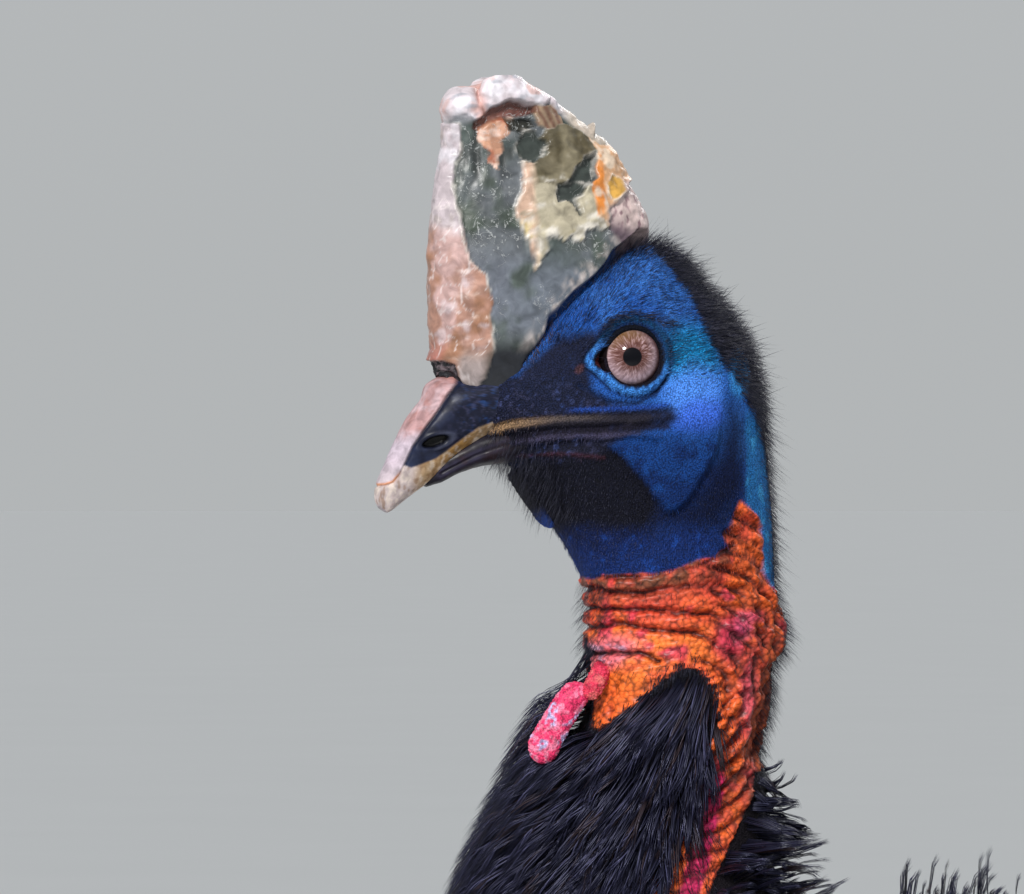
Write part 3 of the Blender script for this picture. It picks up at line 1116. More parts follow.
    # Front plate: white at the top, then pink and amber layers, and grey at its rounded foot
    low = fade(1.248, 1.24, z + 1.5 * jag)
    flesh = cloud(grid * (0.8, 1.0, 0.6), 0.01, 74)
    front = Paint((0.5, 0.43, 0.46), grid)
    front.mottle((0.64, 0.6, 0.65), 1.0, 0.0, 0.4, 0.007, 75)
    front.mottle((0.42, 0.36, 0.34), 0.7, 0.2, 0.45, 0.006, 70)
    amber = Paint((0.4, 0.215, 0.16), grid)
    amber.add((0.52, 0.34, 0.32), fade(-0.05, 0.25, flesh))
    amber.mottle((0.31, 0.15, 0.085), 0.9, 0.05, 0.4, 0.009, 77)
    amber.mottle((0.62, 0.5, 0.52), 0.8, 0.22, 0.5, 0.007, 78)
    front.add(amber, low)
    front.add((0.4, 0.13, 0.11), 0.65 * fade(1.2, 1.19, z + jag) * fade(-0.462, -0.466, x))
    front.add((0.36, 0.32, 0.32), 0.8 * fade(1.196, 1.186, z) * fade(-0.46, -0.456, x))
    front.add((0.1, 0.07, 0.05), 0.7 * fade(1.199, 1.19, z) * fade(-0.45, -0.4455, x))
    veins = np.abs(cloud(grid, 0.006, 79, 2))
    front.add((0.72, 0.64, 0.64), 0.6 * fade(0.05, 0.012, veins))
    colour.add(front, plate)
    # The crust: a pale olive shell, a pink bridge, and orange flakes at the rear
    cream = Paint((0.46, 0.41, 0.3), grid)
    cream.add((0.6, 0.38, 0.28), 0.85 * fade(-0.4235, -0.427, x + 0.6 * jag))
    cream.add((0.66, 0.55, 0.22), 0.8 * fade(0.05, 0.4, cloud(grid, 0.008, 81)) * fade(1.25, 1.244, z))
    cream.mottle((0.7, 0.66, 0.6), 0.8, 0.0, 0.35, 0.0055, 82)
    cream.mottle((0.28, 0.25, 0.18), 0.7, 0.2, 0.5, 0.0045, 83)
    olive = Paint((0.085, 0.068, 0.034), grid)
    olive.mottle((0.14, 0.118, 0.072), 1.0, -0.1, 0.4, 0.008, 84)
    olive.add((0.3, 0.26, 0.17), 0.55 * fade(0.0, 0.5, coarse + fade(1.27, 1.262, z)))
    cream.add(olive, shell)
    bars = 0.5 + 0.5 * np.sin((x + 0.3 * (z - 1.29)) / 0.0022 * math.tau * 0.5 + 3 * coarse)
    brown = blend((0.17, 0.085, 0.055), (0.4, 0.3, 0.2), bars * 0.6)
    cream.add(brown, striped * (1 - shell))
    fire = Paint((0.62, 0.36, 0.2), grid)
    fire.add((0.74, 0.25, 0.045), fade(0.0, 0.3, cloud(grid * (1.6, 1, 0.6), 0.008, 85)))
    fire.mottle((0.8, 0.66, 0.52), 0.8, 0.1, 0.4, 0.006, 86)
    fire.add((0.6, 0.33, 0.05), patch(xw, zw, AMBER_FLAKE, 0.0006) * 0.9)
    cream.add(fire, rear)
    colour.add(cream, crust)
    rust = Paint((0.54, 0.28, 0.18), grid)
    rust.add((0.68, 0.48, 0.4), fade(0.0, 0.4, cloud(grid * (0.6, 1, 1.4), 0.004, 87)))
    rust.mottle((0.36, 0.1, 0.05), 0.85, 0.15, 0.45, 0.0045, 88)
    colour.add(rust, flakes)
    colour.add((0.175, 0.062, 0.048), under * 0.92)
    colour.add((0.022, 0.022, 0.016), crevice * 0.95)
    colour.add((0.034, 0.044, 0.038), hole * 0.92)
    pale = Paint((0.64, 0.5, 0.48), grid)
    pale.add((0.26, 0.16, 0.18), fade(0.0, 0.45, cloud(grid * (1.5, 1, 0.6), 0.0022, 89, 2)))
    pale.add((0.11, 0.075, 0.095), fade(1.25, 1.24, z + 0.3 * (x + 0.38)))
    colour.add(pale, stubble)
    colour.add((0.8, 0.76, 0.7), edge * 0.6)
    # The swollen roll on top
    cap = Paint((0.66, 0.58, 0.62), grid)
    cap.mottle((0.8, 0.76, 0.82), 1.0, -0.05, 0.35, 0.008, 90)
    cap.mottle((0.62, 0.37, 0.33), 0.75, 0.05, 0.35, 0.009, 96)
    cap.add((0.36, 0.38, 0.44), 0.7 * fade(0.15, 0.45, cloud(grid * (0.6, 1, 1.2), 0.006, 98)))
    cap.add((0.6, 0.26, 0.19), 0.7 * bell(x + 0.448 + 0.35 * (z - 1.299), 0.0022))
    cap.add((0.48, 0.4, 0.3), 0.8 * fade(-0.413, -0.402, x))
    colour.add(cap, roll)
    colour.add((0.008, 0.008, 0.012), throat)
    wrinkles = np.abs(cloud(grid * (0.5, 1.0, 1.8), 0.004, 58, 2))
    colour.add((0.2, 0.15, 0.17), throat * fade(0.1, 0.02, wrinkles) * 0.7)
    scratched = (1 - plate) * (1 - crust) * below * (1 - stubble) * fade(1.194, 1.204, z)
    piece = wrapped("casque_horn", turn_about_nape(grid, HEAD_TURN), casque_finish,
                    tint=np.clip(colour.now * 0.88, 0.002, 0.9), scratched=scratched)
    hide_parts("casque")


casque()


# Bill

# Sections of its halves, from the face to the tip: lower (x, z), upper (x, z), half width
UPPER_BILL = [
    (-0.415, 1.162, -0.44, 1.186, 0.0185),
    (-0.4345, 1.1588, -0.4655, 1.1803, 0.0167),
    (-0.4455, 1.1535, -0.4723, 1.1724, 0.0152),
    (-0.4562, 1.1467, -0.4787, 1.1638, 0.013),
    (-0.4652, 1.139, -0.4838, 1.1534, 0.0105),
    (-0.4742, 1.1323, -0.4883, 1.1431, 0.0079),
    (-0.4808, 1.1274, -0.4915, 1.1348, 0.0055),
    (-0.4842, 1.1248, -0.4915, 1.1296, 0.0038),
    (-0.4864, 1.1237, -0.4902, 1.1262, 0.0019),
]
LOWER_BILL = [
    (-0.392, 1.145, -0.395, 1.1612, 0.016),
    (-0.415, 1.1462, -0.4176, 1.1632, 0.0158),
    (-0.4335, 1.1444, -0.437, 1.1612, 0.0142),
    (-0.4448, 1.143, -0.45, 1.1566, 0.0118),
    (-0.454, 1.1402, -0.4604, 1.15, 0.0094),
    (-0.4624, 1.1362, -0.469, 1.144, 0.0068),
    (-0.469, 1.1342, -0.4738, 1.1382, 0.0034),
]
NOSTRIL = (-0.4682, 1.1535)
NOSTRIL_SIZE = (0.006, 0.0023)
RIDGE = outline(-4540, 11850, -4559, 11830, -4581, 11804, -4636, 11742, -4701, 11637, -4745, 11575, -4784, 11512,
                -4809, 11450, -4832, 11398, -4855, 11366, -4885, 11356, -5100, 11352, -5100, 11900)
CUTTING_EDGE = outline(-4880, 11390, -4816, 11436, -4783, 11424, -4674, 11465, -4597, 11523, -4498, 11596,
                       -4400, 11628, -4300, 11650, -4000, 11660, -4000, 11000, -5100, 11000, -5100, 11400)


BILL_FULLNESS = 0.9
BILL_CREASE = outline(-4640, 11400, -4500, 11476, -4391, 11518, -4309, 11544, -4134, 11554)


def bill_form(sections, rows, columns):
    """A half of the bill as a grid of points, with their angles."""
    sections = smooth_between(sections, np.linspace(0, len(sections) - 1, rows))
    angles = np.broadcast_to(around(columns), (rows, columns))
    grid = round_section(sections[:, None, :], angles, BILL_FULLNESS)
    return grid, angles, grid[..., 0], grid[..., 2]


def upper_bill():
    """The bill's upper half: black, with a pink ridge, a horn-coloured cutting edge and the nostril."""
    rows = 160
    grid, angles, x, z = bill_form(UPPER_BILL, rows, 160)
    share = np.linspace(0, 1, rows)[:, None]
    wander = cloud(grid, 0.005, 91) * 0.0007
    ridge = patch(x + wander, z + wander, RIDGE, 0.00045)
    edge = patch(x + wander, z, CUTTING_EDGE, 0.0005) * (1 - ridge)
    tip = fade(0.73, 0.77, share + 200 * wander * 0.1) * (1 - ridge)
    oval = spot(x, z, NOSTRIL, NOSTRIL_SIZE, 0.3)
    hole = fade(1.05, 0.8, oval)
    ridge_gap = outlined(x, z, RIDGE)
    height = 0.0007 * ridge + 0.0004 * edge - 0.003 * hole + 0.0004 * bell(oval, 0.25, 1.45)
    height -= 0.0007 * bell(ridge_gap, 0.0006, 0.0006) * (1 - ridge)
    height += 0.0002 * cloud(grid * (0.5, 1, 0.5), 0.003, 90, 2)
    top = fade(0.1, 0.9, -np.cos(angles))
    height -= top * np.interp(z, [1.128, 1.14, 1.16, 1.172, 1.18, 1.185],
                              [0.0004, 0.0014, 0.0021, 0.0026, 0.0012, -0.0012])
    grid = raised(grid, height)
    colour = Paint((0.007, 0.009, 0.024), grid)
    colour.mottle((0.024, 0.034, 0.08), 0.6, 0.0, 0.5, 0.009, 92)
    fleck = cloud(grid, 0.0014, 15, 2)
    colour.add((0.022, 0.07, 0.24), fade(-0.464, -0.448, x) * fade(0.15, 0.55, fleck) * 0.5)
    colour.add((0.05, 0.052, 0.11), fade(-0.47, -0.452, x) * fade(0.1, 0.5, cloud(grid, 0.0011, 16, 2)) * 0.5)
    colour.add((0.09, 0.1, 0.16), 0.35 * bell(oval, 0.25, 1.35) * fade(-0.47, -0.466, x))
    horn = Paint((0.45, 0.375, 0.37), grid)
    horn.add((0.42, 0.285, 0.165), fade(-0.479, -0.472, x + 2 * wander))
    horn.add((0.31, 0.175, 0.06), fade(-0.47, -0.46, x + 2 * wander))
    horn.add((0.3, 0.2, 0.115), fade(-0.456, -0.448, x))
    streaks = cloud(grid @ np.array([[0.75, 0, -0.66], [0, 1, 0], [0.26, 0, 0.3]]), 0.0016, 93, 2)
    horn.add((0.17, 0.08, 0.022), 0.55 * fade(0.1, 0.45, streaks))
    horn.add((0.7, 0.6, 0.52), 0.5 * fade(-0.1, -0.45, streaks))
    colour.add(horn, np.clip(edge + tip, 0, 1))
    pink = Paint((0.5, 0.295, 0.3), grid)
    pink.mottle((0.6, 0.42, 0.45), 1.0, -0.15, 0.3, 0.007, 94)
    pink.mottle((0.46, 0.22, 0.2), 0.7, 0.1, 0.4, 0.005, 95)
    pink.add((0.6, 0.51, 0.6), fade(1.16, 1.152, z + 2 * wander) * 0.9)
    pink.add((0.58, 0.5, 0.52), fade(1.148, 1.136, z) * 0.6)
    pink.add((0.3, 0.12, 0.1), fade(1.179, 1.183, z) * 0.8)
    narrow = fade(0.0008, -0.0008, ridge_gap - np.interp(z, [1.16, 1.172, 1.184], [0.02, 0.0105, 0.0048]))
    colour.add((0.03, 0.022, 0.026), ridge * (1 - narrow))
    colour.add(pink.now * 0.8, ridge * narrow)
    rim = bell(ridge_gap, 0.0005) * fade(1.142, 1.138, z)
    colour.add((0.66, 0.24, 0.075), rim * 0.8)
    colour.add((0.3, 0.25, 0.3), fade(0.955, 1.0, share) * 0.6)
    colour.add((0.0015, 0.0015, 0.002), fade(1.05, 0.9, oval))
    piece = wrapped("upper_bill", turn_about_nape(grid, HEAD_TURN), bill_finish,
                    tint=np.clip(colour.now, 0.001, 0.9))
    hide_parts("bill_upper")


def lower_bill():
    """The bill's lower half: black, with one long crease."""
    grid, _, x, z = bill_form(LOWER_BILL, 90, 100)
    crease, _ = to_line(x, z, BILL_CREASE)
    grid = raised(grid, -0.0009 * bell(crease, 0.0007) + 0.0002 * cloud(grid, 0.003, 96))
    colour = Paint((0.011, 0.009, 0.017), grid)
    colour.add((0.034, 0.03, 0.06), 0.75 * bell(crease, 0.0009, 0.0014))
    colour.mottle((0.03, 0.014, 0.016), 0.7, 0.0, 0.5, 0.006, 97)
    piece = wrapped("lower_bill", turn_about_nape(grid, HEAD_TURN), bill_finish, tint=colour.now)
    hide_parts("bill_lower")


upper_bill()
lower_bill()


# The hanging throat fold and the wattle

def lobe(name, top, tip, width, profile, tint, finish, flat=1.0, bow=0.0, grain=0.0):
    """A hanging lobe of skin: its width follows the profile from its root to its tip."""
    rows, columns = 120, 90
    share = np.sin(np.linspace(0.0, math.pi / 2, rows)) ** 0.9
    top, tip = np.array(top), np.array(tip)
    along = (tip - top) / np.linalg.norm(tip - top)
    level = np.array([0.0, 1.0, 0.0])
    out = np.cross(along, level)
    reach = np.interp(share, *zip(*profile)) * width / 2
    rounding = np.sqrt(np.clip(1.0 - (np.clip((share - 0.8) / 0.2, 0, 1)) ** 2, 0.0, 1.0))
    reach = reach * rounding * np.sqrt(np.clip(1.0 - np.clip(1.0 - share / 0.12, 0, 1) ** 2, 0.0004, 1.0))
    angle = around(columns)
    centre = top + (tip - top) * share[:, None] + out * (bow * np.sin(math.pi * share))[:, None]
    grid = (centre[:, None] + out * (reach[:, None, None] * np.cos(angle)[None, :, None])
            + level * (flat * reach[:, None, None] * np.sin(angle)[None, :, None]))
    first, second = grains(grid, 0.0016, 101)
    height = grain * (fade(0.05, 0.5, second - first) - 0.5) + 0.8 * grain * cloud(grid, 0.006, 102)
    grid = raised(grid, height * fade(1.0, 0.93, share)[:, None])
    piece = wrapped(name, grid, finish, tint=tint(grid, share), pebble=np.full(grid.shape[:2], 0.45))
    return piece


def wattle_tint(grid, share):
    """Pink, paler in clouds, with bluish patches below its root."""
    colour = Paint((0.72, 0.035, 0.13), grid)
    colour.mottle((0.85, 0.26, 0.4), 0.75, -0.1, 0.4, 0.0022, 111, 2)
    patches = fade(-0.02, 0.2, cloud(grid, 0.006, 117)) * fade(0.12, 0.35, share)[:, None]
    colour.add((0.46, 0.5, 0.8), patches * 0.85 * fade(-0.45, 0.15, cloud(grid, 0.0014, 118, 1)))
    return blend(colour.now, (0.07, 0.08, 0.2), patches * fade(0.3, 0.5, cloud(grid, 0.0026, 113, 1)) * 0.7)


def root_tint(grid, _):
    return blend((0.58, 0.03, 0.075), (0.66, 0.14, 0.14), fade(0.0, 0.5, cloud(grid, 0.004, 114)))


def fold_tint(grid, share):
    return blend(BLACK, (0.012, 0.04, 0.2), np.broadcast_to(fade(0.6, 0.95, share)[:, None], grid.shape[:2]))


WATTLE_SHAPE = [(0.0, 0.62), (0.08, 0.86), (0.25, 0.94), (0.5, 0.96), (0.75, 1.0), (1.0, 1.0)]
wattle = lobe("wattle_lobe", (-0.3955, -0.0262, 1.0505), (-0.4158, -0.03, 1.017), 0.0138, WATTLE_SHAPE,
              wattle_tint, skin_finish, 0.62, -0.0012, 0.0004)
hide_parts("wattle")
ROOT_SHAPE = [(0.0, 0.9), (0.4, 1.0), (1.0, 1.0)]
lobe("wattle_root", (-0.3868, -0.0235, 1.059), (-0.395, -0.028, 1.044), 0.009, ROOT_SHAPE, root_tint,
     skin_finish, 0.7, 0.001, 0.0005)
FOLD_SHAPE = [(0.0, 1.0), (0.5, 0.8), (0.85, 0.6), (1.0, 0.5)]
lobe("throat_fold", head_place(-0.427, 0.0, 1.144), head_place(-0.4118, 0.0, 1.1168), 0.015,
     FOLD_SHAPE, fold_tint, skin_finish, 0.3, 0.0, 0.0003)


# Legs

# Sections of the shank: front x, rear x, z, half width
SHANK = [(0.084, 0.138, 0.353, 0.0215), (0.084, 0.141, 0.332, 0.022), (0.092, 0.135, 0.297, 0.019),
         (0.088, 0.128, 0.24, 0.0168), (0.085, 0.121, 0.177, 0.0158), (0.076, 0.112, 0.11, 0.0156),
         (0.069, 0.104, 0.056, 0.0158), (0.062, 0.103, 0.021, 0.018), (0.062, 0.102, 0.0, 0.015)]
SHANK_TOP = 0.353
SCUTE_PITCH = 0.0145
TOE_PITCH = 0.0085
# Toes: length, heading in degrees, claw's length and claw's radius
TOES = {
    "inner": (0.1, 27, 0.098, 0.0095),
    "middle": (0.16, -2, 0.036, 0.0085),
    "outer": (0.118, -31, 0.032, 0.008),
}
TOE_START_X = 0.08
TOE_HALF_WIDTH = 0.0135
TOE_HEIGHT = 0.027


def scutes(along, across, pitch, seed):
    """Height of overlapping plates, which rise towards their lower edge and stop short."""
    phase = along / pitch + 0.12 * np.sin(3.0 * across + seed)
    share = phase - np.floor(phase)
    return share ** 0.7 * fade(1.0, 0.9, share)


def leg_tint(height, points, facing):
    """Grey-brown skin, paler on raised plates and dark in the grooves between them."""
    colour = Paint((0.085, 0.078, 0.062), points)
    colour.add((0.2, 0.185, 0.15), np.clip(height, 0, 1) * 0.75 * facing)
    colour.mottle((0.045, 0.04, 0.038), 0.6, 0.1, 0.6, 0.02, 121)
    return blend(colour.now, (0.02, 0.017, 0.015), 0.8 * fade(0.12, 0.0, height) * facing)


def shank(name, side):
    """The scaly shank, with plates in front, pebbles behind and a knobbly heel."""
    rows = stepped(SHANK, 200, name)
    rows[:, 2] = np.maximum(rows[:, 2], 0.0)
    grid = leg_rows(side, rows)
    angles = np.broadcast_to(around(grid.shape[1]), grid.shape[:2])
    facing = fade(-0.2, 0.35, np.cos(angles))
    plates = scutes(SHANK_TOP - grid[..., 2], angles, SCUTE_PITCH, side)
    first, second = grains(grid, 0.0075, 125)
    pebbles = fade(0.05, 0.35, second - first)
    height = facing * 0.0022 * plates + (1 - facing) * 0.0012 * pebbles - 0.001
    knob = fade(0.03, 0.0, np.abs(grid[..., 2] - 0.335)) * 0.0012 * cloud(grid, 0.012, 126)
    clear = fade(0.0, 0.004, grid[..., 2])
    grid = raised(grid, (height + knob) * clear)
    tint = leg_tint(facing * plates + (1 - facing) * pebbles, grid, np.ones(grid.shape[:2]))
    piece = wrapped("scaled_shank_" + name, grid, leg_finish, tint=tint)
    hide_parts("shank_" + name)


def toe(label, name, side, length, degrees, claw_length, claw_radius):
    """A toe with plates on top and pads below, and its claw."""
    heading = math.radians(degrees) * side
    ahead = np.array([-math.cos(heading), -math.sin(heading), 0.0])
    across = np.array([math.sin(heading), -math.cos(heading), 0.0])
    base = np.array([TOE_START_X + STEP[name], side * LEG_Y, 0.0])
    share, angle = np.linspace(0.0, 1.0, 90)[:, None], around(40)[None]
    pads = 0.93 + 0.07 * np.abs(np.sin(math.pi * share * 3.0))
    width = TOE_HALF_WIDTH * pads * (1 - 0.3 * share)
    height = TOE_HEIGHT * (1 - 0.36 * share) * (0.97 + 0.03 * np.cos(math.tau * share * 3))
    z = np.clip(height / 2 - height * 0.58 * np.cos(angle), 0.0, None)
    grid = base + ahead * (length * share)[..., None] + across * (width * np.sin(angle))[..., None]
    grid = grid + (0, 0, 1.0) * z[..., None]
    top = fade(-0.1, 0.5, -np.cos(angle)) * np.ones_like(share)
    plates = scutes(length * share * np.ones_like(angle), angle * np.ones_like(share), TOE_PITCH, 1)
    grid = raised(grid, top * 0.0012 * plates * fade(1.0, 0.97, share))
    grid[..., 2] = np.maximum(grid[..., 2], 0.0)
    tint = leg_tint(plates, grid, top)
    piece = wrapped(f"scaled_toe_{label}_{name}", grid, leg_finish, tint=tint)
    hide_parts(f"toe_{label}_{name}")
    share, angle = np.linspace(0.0, 1.0, 60)[:, None], around(28)[None]
    size = np.interp(share, [0.0, 0.15, 0.45, 0.75, 0.96, 1.0], [0.86, 1.0, 0.78, 0.44, 0.12, 0.02])
    middle_z = 0.0098 + 0.0022 * np.sin(math.pi * share) - 0.005 * share
    grid = base + ahead * (length - 0.004) + ahead * ((claw_length + 0.002) * share)[..., None]
    grid = grid + across * (claw_radius * size * 0.8 * np.sin(angle))[..., None]
    grid = grid + (0, 0, 1.0) * (middle_z - claw_radius * size * 0.88 * np.cos(angle))[..., None]
    wear = cloud(grid * (0.3, 1.0, 1.0), 0.006, 131)
    colour = blend((0.022, 0.02, 0.02), (0.13, 0.11, 0.085),
                   0.7 * fade(0.0, 0.5, wear) + 0.2 * fade(0.6, 1.0, share))
    piece = wrapped(f"horn_claw_{label}_{name}", grid, bill_finish, tint=np.clip(colour, 0.001, 0.9))
    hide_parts(f"claw_{label}_{name}")


for name, side in SIDES.items():
    shank(name, side)
    for label, sizes in TOES.items():
        toe(label, name, side, *sizes)


# Wings: stubs with bare quills

WING_ANGLE = 1.72
WING_SECTION = 6.45
QUILLS = 5
QUILL_LENGTH = 0.3


def wing(name, side):
    """Five bare quills and the stub they grow from, fused in one mesh."""
    place, angle = np.array([WING_SECTION]), np.array([-side * WING_ANGLE])
    here = form(place, angle)[0]
    normal = np.array([0.0, side * 0.985, 0.17])
    parts = []
    share = np.linspace(0.0, 1.0, 60)
    phase = around(14)
    for number in range(QUILLS):
        spread = number / (QUILLS - 1)
        root = here + normal * 0.012 + (0.004, 0.0, -0.034 * (spread - 0.5))
        down = 0.5 + 0.55 * spread
        length = QUILL_LENGTH * (1.0 - 0.28 * abs(spread - 0.35))
        back = length * (share - 0.18 * share ** 2 * (0.5 + spread)) * math.cos(down * 0.8)
        drop = length * (0.55 * share + 0.45 * share ** 2) * math.sin(down * 0.9)
        bow = 0.062 * np.sin(np.minimum(1.0, share * 2.6) * math.pi / 2) - 0.012 * share
        line = root + np.stack([back, side * bow, -drop], axis=-1)
        along = unit(np.gradient(line, axis=0), 0.0)
        one = unit(np.cross(along, [0, 0, 1.0]), 0.0)
        two = np.cross(along, one)
        radius = 0.0032 * (1.0 - 0.8 * share)
        grid = (line[:, None] + one[:, None] * (radius[:, None] * np.cos(phase))[..., None]
                + two[:, None] * (radius[:, None] * np.sin(phase))[..., None])
        colour = blend((0.015, 0.013, 0.013), (0.08, 0.065, 0.05),
                       np.broadcast_to(fade(0.3, 0.0, share)[:, None], grid.shape[:2]))
        parts.append(wrapped(f"quill_{number}", grid, bill_finish, tint=colour))
    lat = np.linspace(0.0, math.pi, 40)[:, None]
    lon = around(40)[None]
    stub = here + np.stack([0.026 * np.sin(lat) * np.cos(lon), side * (0.03 * np.cos(lat) * np.ones_like(lon)),
                            0.017 * np.sin(lat) * np.sin(lon)], axis=-1)
    parts.append(wrapped("stub", stub, bill_finish, tint=np.full(stub.shape, 0.012)))
    piece = fused(parts)
    piece.name = "quills_" + name
    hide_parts("wing_" + name)


for name, side in SIDES.items():
    wing(name, side)


# The coat

def slopes(places, angles, surface):
    """A place on a surface, its steps along place and angle, and its normal."""
    here = surface(places, angles)
    on = (surface(places + 0.03, angles) - surface(places - 0.03, angles)) / 0.06
    across = (surface(places, angles + 0.03) - surface(places, angles - 0.03)) / 0.06
    middle = (surface(places, angles * 0) + surface(places, angles * 0 + math.pi)) / 2
    normal = unit(np.cross(on, across))
    flip = np.sign(((here - middle) * normal).sum(axis=-1, keepdims=True))
    return here, on, across, normal * np.where(flip == 0, 1, flip)


def combed(places, angles, lie, length, steps, surface, top):
    """Lines that start on a surface and follow it along their lie, straight on past its end."""
    lines, normals, ways = [], [], []
    here, on, across, normal = slopes(places, angles, surface)
    free = np.zeros(len(places), bool)
    for _ in range(steps + 1):
        way = unit(lie - normal * (lie * normal).sum(axis=-1, keepdims=True), 1e-9)
        lines.append(here)
        normals.append(normal)
        ways.append(way)
        stride = way * (length / steps)[:, None]
        a, b, c = (on * on).sum(-1), (on * across).sum(-1), (across * across).sum(-1)
        p, q = (stride * on).sum(-1), (stride * across).sum(-1)
        det = np.maximum(a * c - b * b, 1e-12)
        places = places + np.clip((p * c - q * b) / det, -0.9, 0.9)
        angles = angles + np.clip((q * a - p * b) / det, -0.9, 0.9)
        free = free | (places < 0.06) | (places > top)
        there, on, across, next_normal = slopes(np.clip(places, 0.05, top), angles, surface)
        here = np.where(free[:, None], here + stride, there)
        normal = np.where(free[:, None], normal, next_normal)
    return (np.stack(part, axis=1) for part in (lines, normals, ways))


def tufts(rng, places, angles, lie, length, lift, spread, strands, width, surface, top,
          steps=3, ragged=0.25, curl=0.0, draw=0.42):
    """Tufts of tapered strands: rooted close together, fuller in the middle, drawn in at the tip."""
    count = len(places)
    lines, normals, ways = combed(places, angles, lie, length, steps, surface, top)
    sides = np.cross(normals, ways)
    share = np.linspace(0.0, 1.0, steps + 1)
    rise = lift[:, None] * np.interp(share, [0, 0.3, 0.7, 1.0], [-0.08, 0.5, 0.9, 1.0])[None]
    lines = lines + normals * rise[..., None]
    bend = rng.normal(0.0, 1.0, (count, 1)) * share[None] ** 2 * curl
    lines = lines + sides * (bend * length[:, None])[..., None]
    lines, sides, normals, ways = (np.repeat(part, strands, axis=0) for part in (lines, sides, normals, ways))
    total = count * strands
    wide = np.repeat(spread, strands)[:, None]
    offset = rng.uniform(-1.0, 1.0, (total, 1)) * np.interp(share, [0, 0.45, 1.0], [1.0, 0.85, draw])[None]
    wave = rng.normal(0.0, 1.0, (total, 1)) * share[None] ** 2 * ragged
    up = rng.uniform(-0.5, 1.0, (total, 1)) * np.interp(share, [0, 0.4, 1.0], [0.2, 0.7, 1.0])[None]
    lines = lines + sides * ((offset + wave) * wide)[..., None] + normals * (up * wide * 0.6)[..., None]
    shift = rng.uniform(-0.1, 0.14, (total, 1)) * np.repeat(length, strands)[:, None] * share[None]
    lines = lines + ways * shift[..., None]
    profile = np.interp(share[:-1], [0, 0.3, 0.75, 1.0], [0.75, 1.0, 0.62, 0.2])
    half = rng.uniform(0.7, 1.2, (total, 1)) * width / 2 * profile[None]
    return lines, sides, normals, half, half * 0.8


def unwrap(places, angles, strands):
    """Where each tuft's patch sits on the unwrap of the skin's own shape."""
    u = MARGIN + SPAN * ((angles % math.tau) / math.tau)
    v = MARGIN + SPAN * places / LAST_SECTION
    spots = np.stack([u, v], axis=-1)
    return np.repeat(np.clip(spots, 0.0, 0.996), strands, axis=0)


def scattered(rng, count, low, high, keep):
    """Roots spread evenly over the form between two sections, where keep allows them."""
    places = rng.uniform(low, high, count * 12)
    angles = rng.uniform(0.0, math.tau, count * 12)
    here = form(places, angles)
    area = np.linalg.norm(np.cross(form(places + 0.02, angles) - here, form(places, angles + 0.02) - here), axis=-1)
    chance = area * keep(places, angles, straight_form(places, angles))
    chosen = rng.choice(len(chance), size=count, replace=False, p=chance / chance.sum())
    return places[chosen], angles[chosen]


def steered(points, *fields):
    """A lie for every place, blended from (weight, direction) fields."""
    total = np.zeros_like(points)
    for weight, direction in fields:
        total = total + np.asarray(weight)[..., None] * np.array(direction)
    return total


def feather_tint(rng, count, strands, brown=0.2, pale=0.06):
    """Near black: some tufts browner, some bluer, and a few strands worn pale."""
    total = count * strands
    tone = np.repeat(rng.uniform(0.0, 1.0, (count, 1)), strands, axis=0)
    base = np.where(tone < brown, np.array([(0.02, 0.011, 0.01)]), np.array([(0.01, 0.01, 0.024)]))
    base = base * rng.uniform(0.45, 1.6, (total, 1))
    worn = rng.uniform(0.0, 1.0, (total, 1)) < pale
    return np.where(worn, np.array([(0.05, 0.05, 0.105)]), base)


# The section past which strands run straight on
COAT_END = LAST_SECTION - 0.2


def grown(name, rng, places, angles, lie, length, lift, spread, strands, width, tones=(), **growth):
    """A coat of tufts on the bird's form, as pieces."""
    shape = tufts(rng, places, angles, lie, length, lift, spread, strands, width, form, COAT_END, **growth)
    coat_pieces(name, *shape, unwrap(places, angles, strands), feather_finish,
                feather_tint(rng, len(places), strands, *tones))


def body_coat():
    """Long, drooping feathers of the body, shorter over the shoulder."""
    rng = np.random.default_rng(5)
    count = 4500
    places, angles = scattered(rng, count, 0.15, 11.5, lambda p, a, at: (p < 11.1) | (from_front(a) < 1.9))
    at = form(places, angles)
    rump = fade(0.16, 0.34, at[:, 0])
    chest = fade(-0.28, -0.4, at[:, 0])
    lie = steered(at, (1 - np.maximum(rump, chest), (0.74, 0.0, -0.66)), (rump, (0.42, 0.0, -0.9)),
                  (chest, (0.3, 0.0, -0.95)))
    lie[:, 1] += np.sign(at[:, 1]) * 0.1
    length = rng.uniform(0.105, 0.17, count) * (1 - 0.3 * chest)
    shoulder = fade(9.2, 10.4, places) * fade(0.9, 1.5, from_front(angles))
    lie = lie * (1 - shoulder)[:, None] + (0.2, 0.0, -0.95) * shoulder[:, None]
    length *= 1 - 0.62 * shoulder
    crown = fade(-0.06, -0.16, at[:, 0]) * fade(1.4, 2.2, from_front(angles))
    lift = rng.uniform(0.012, 0.036, count) * (1 - 0.3 * chest) * (1 - 0.8 * np.maximum(crown, shoulder))
    grown("body_coat", rng, places, angles, lie, length, lift, 0.0075 * (1 - 0.5 * crown), 7, 0.0023,
          curl=0.11, ragged=0.6)


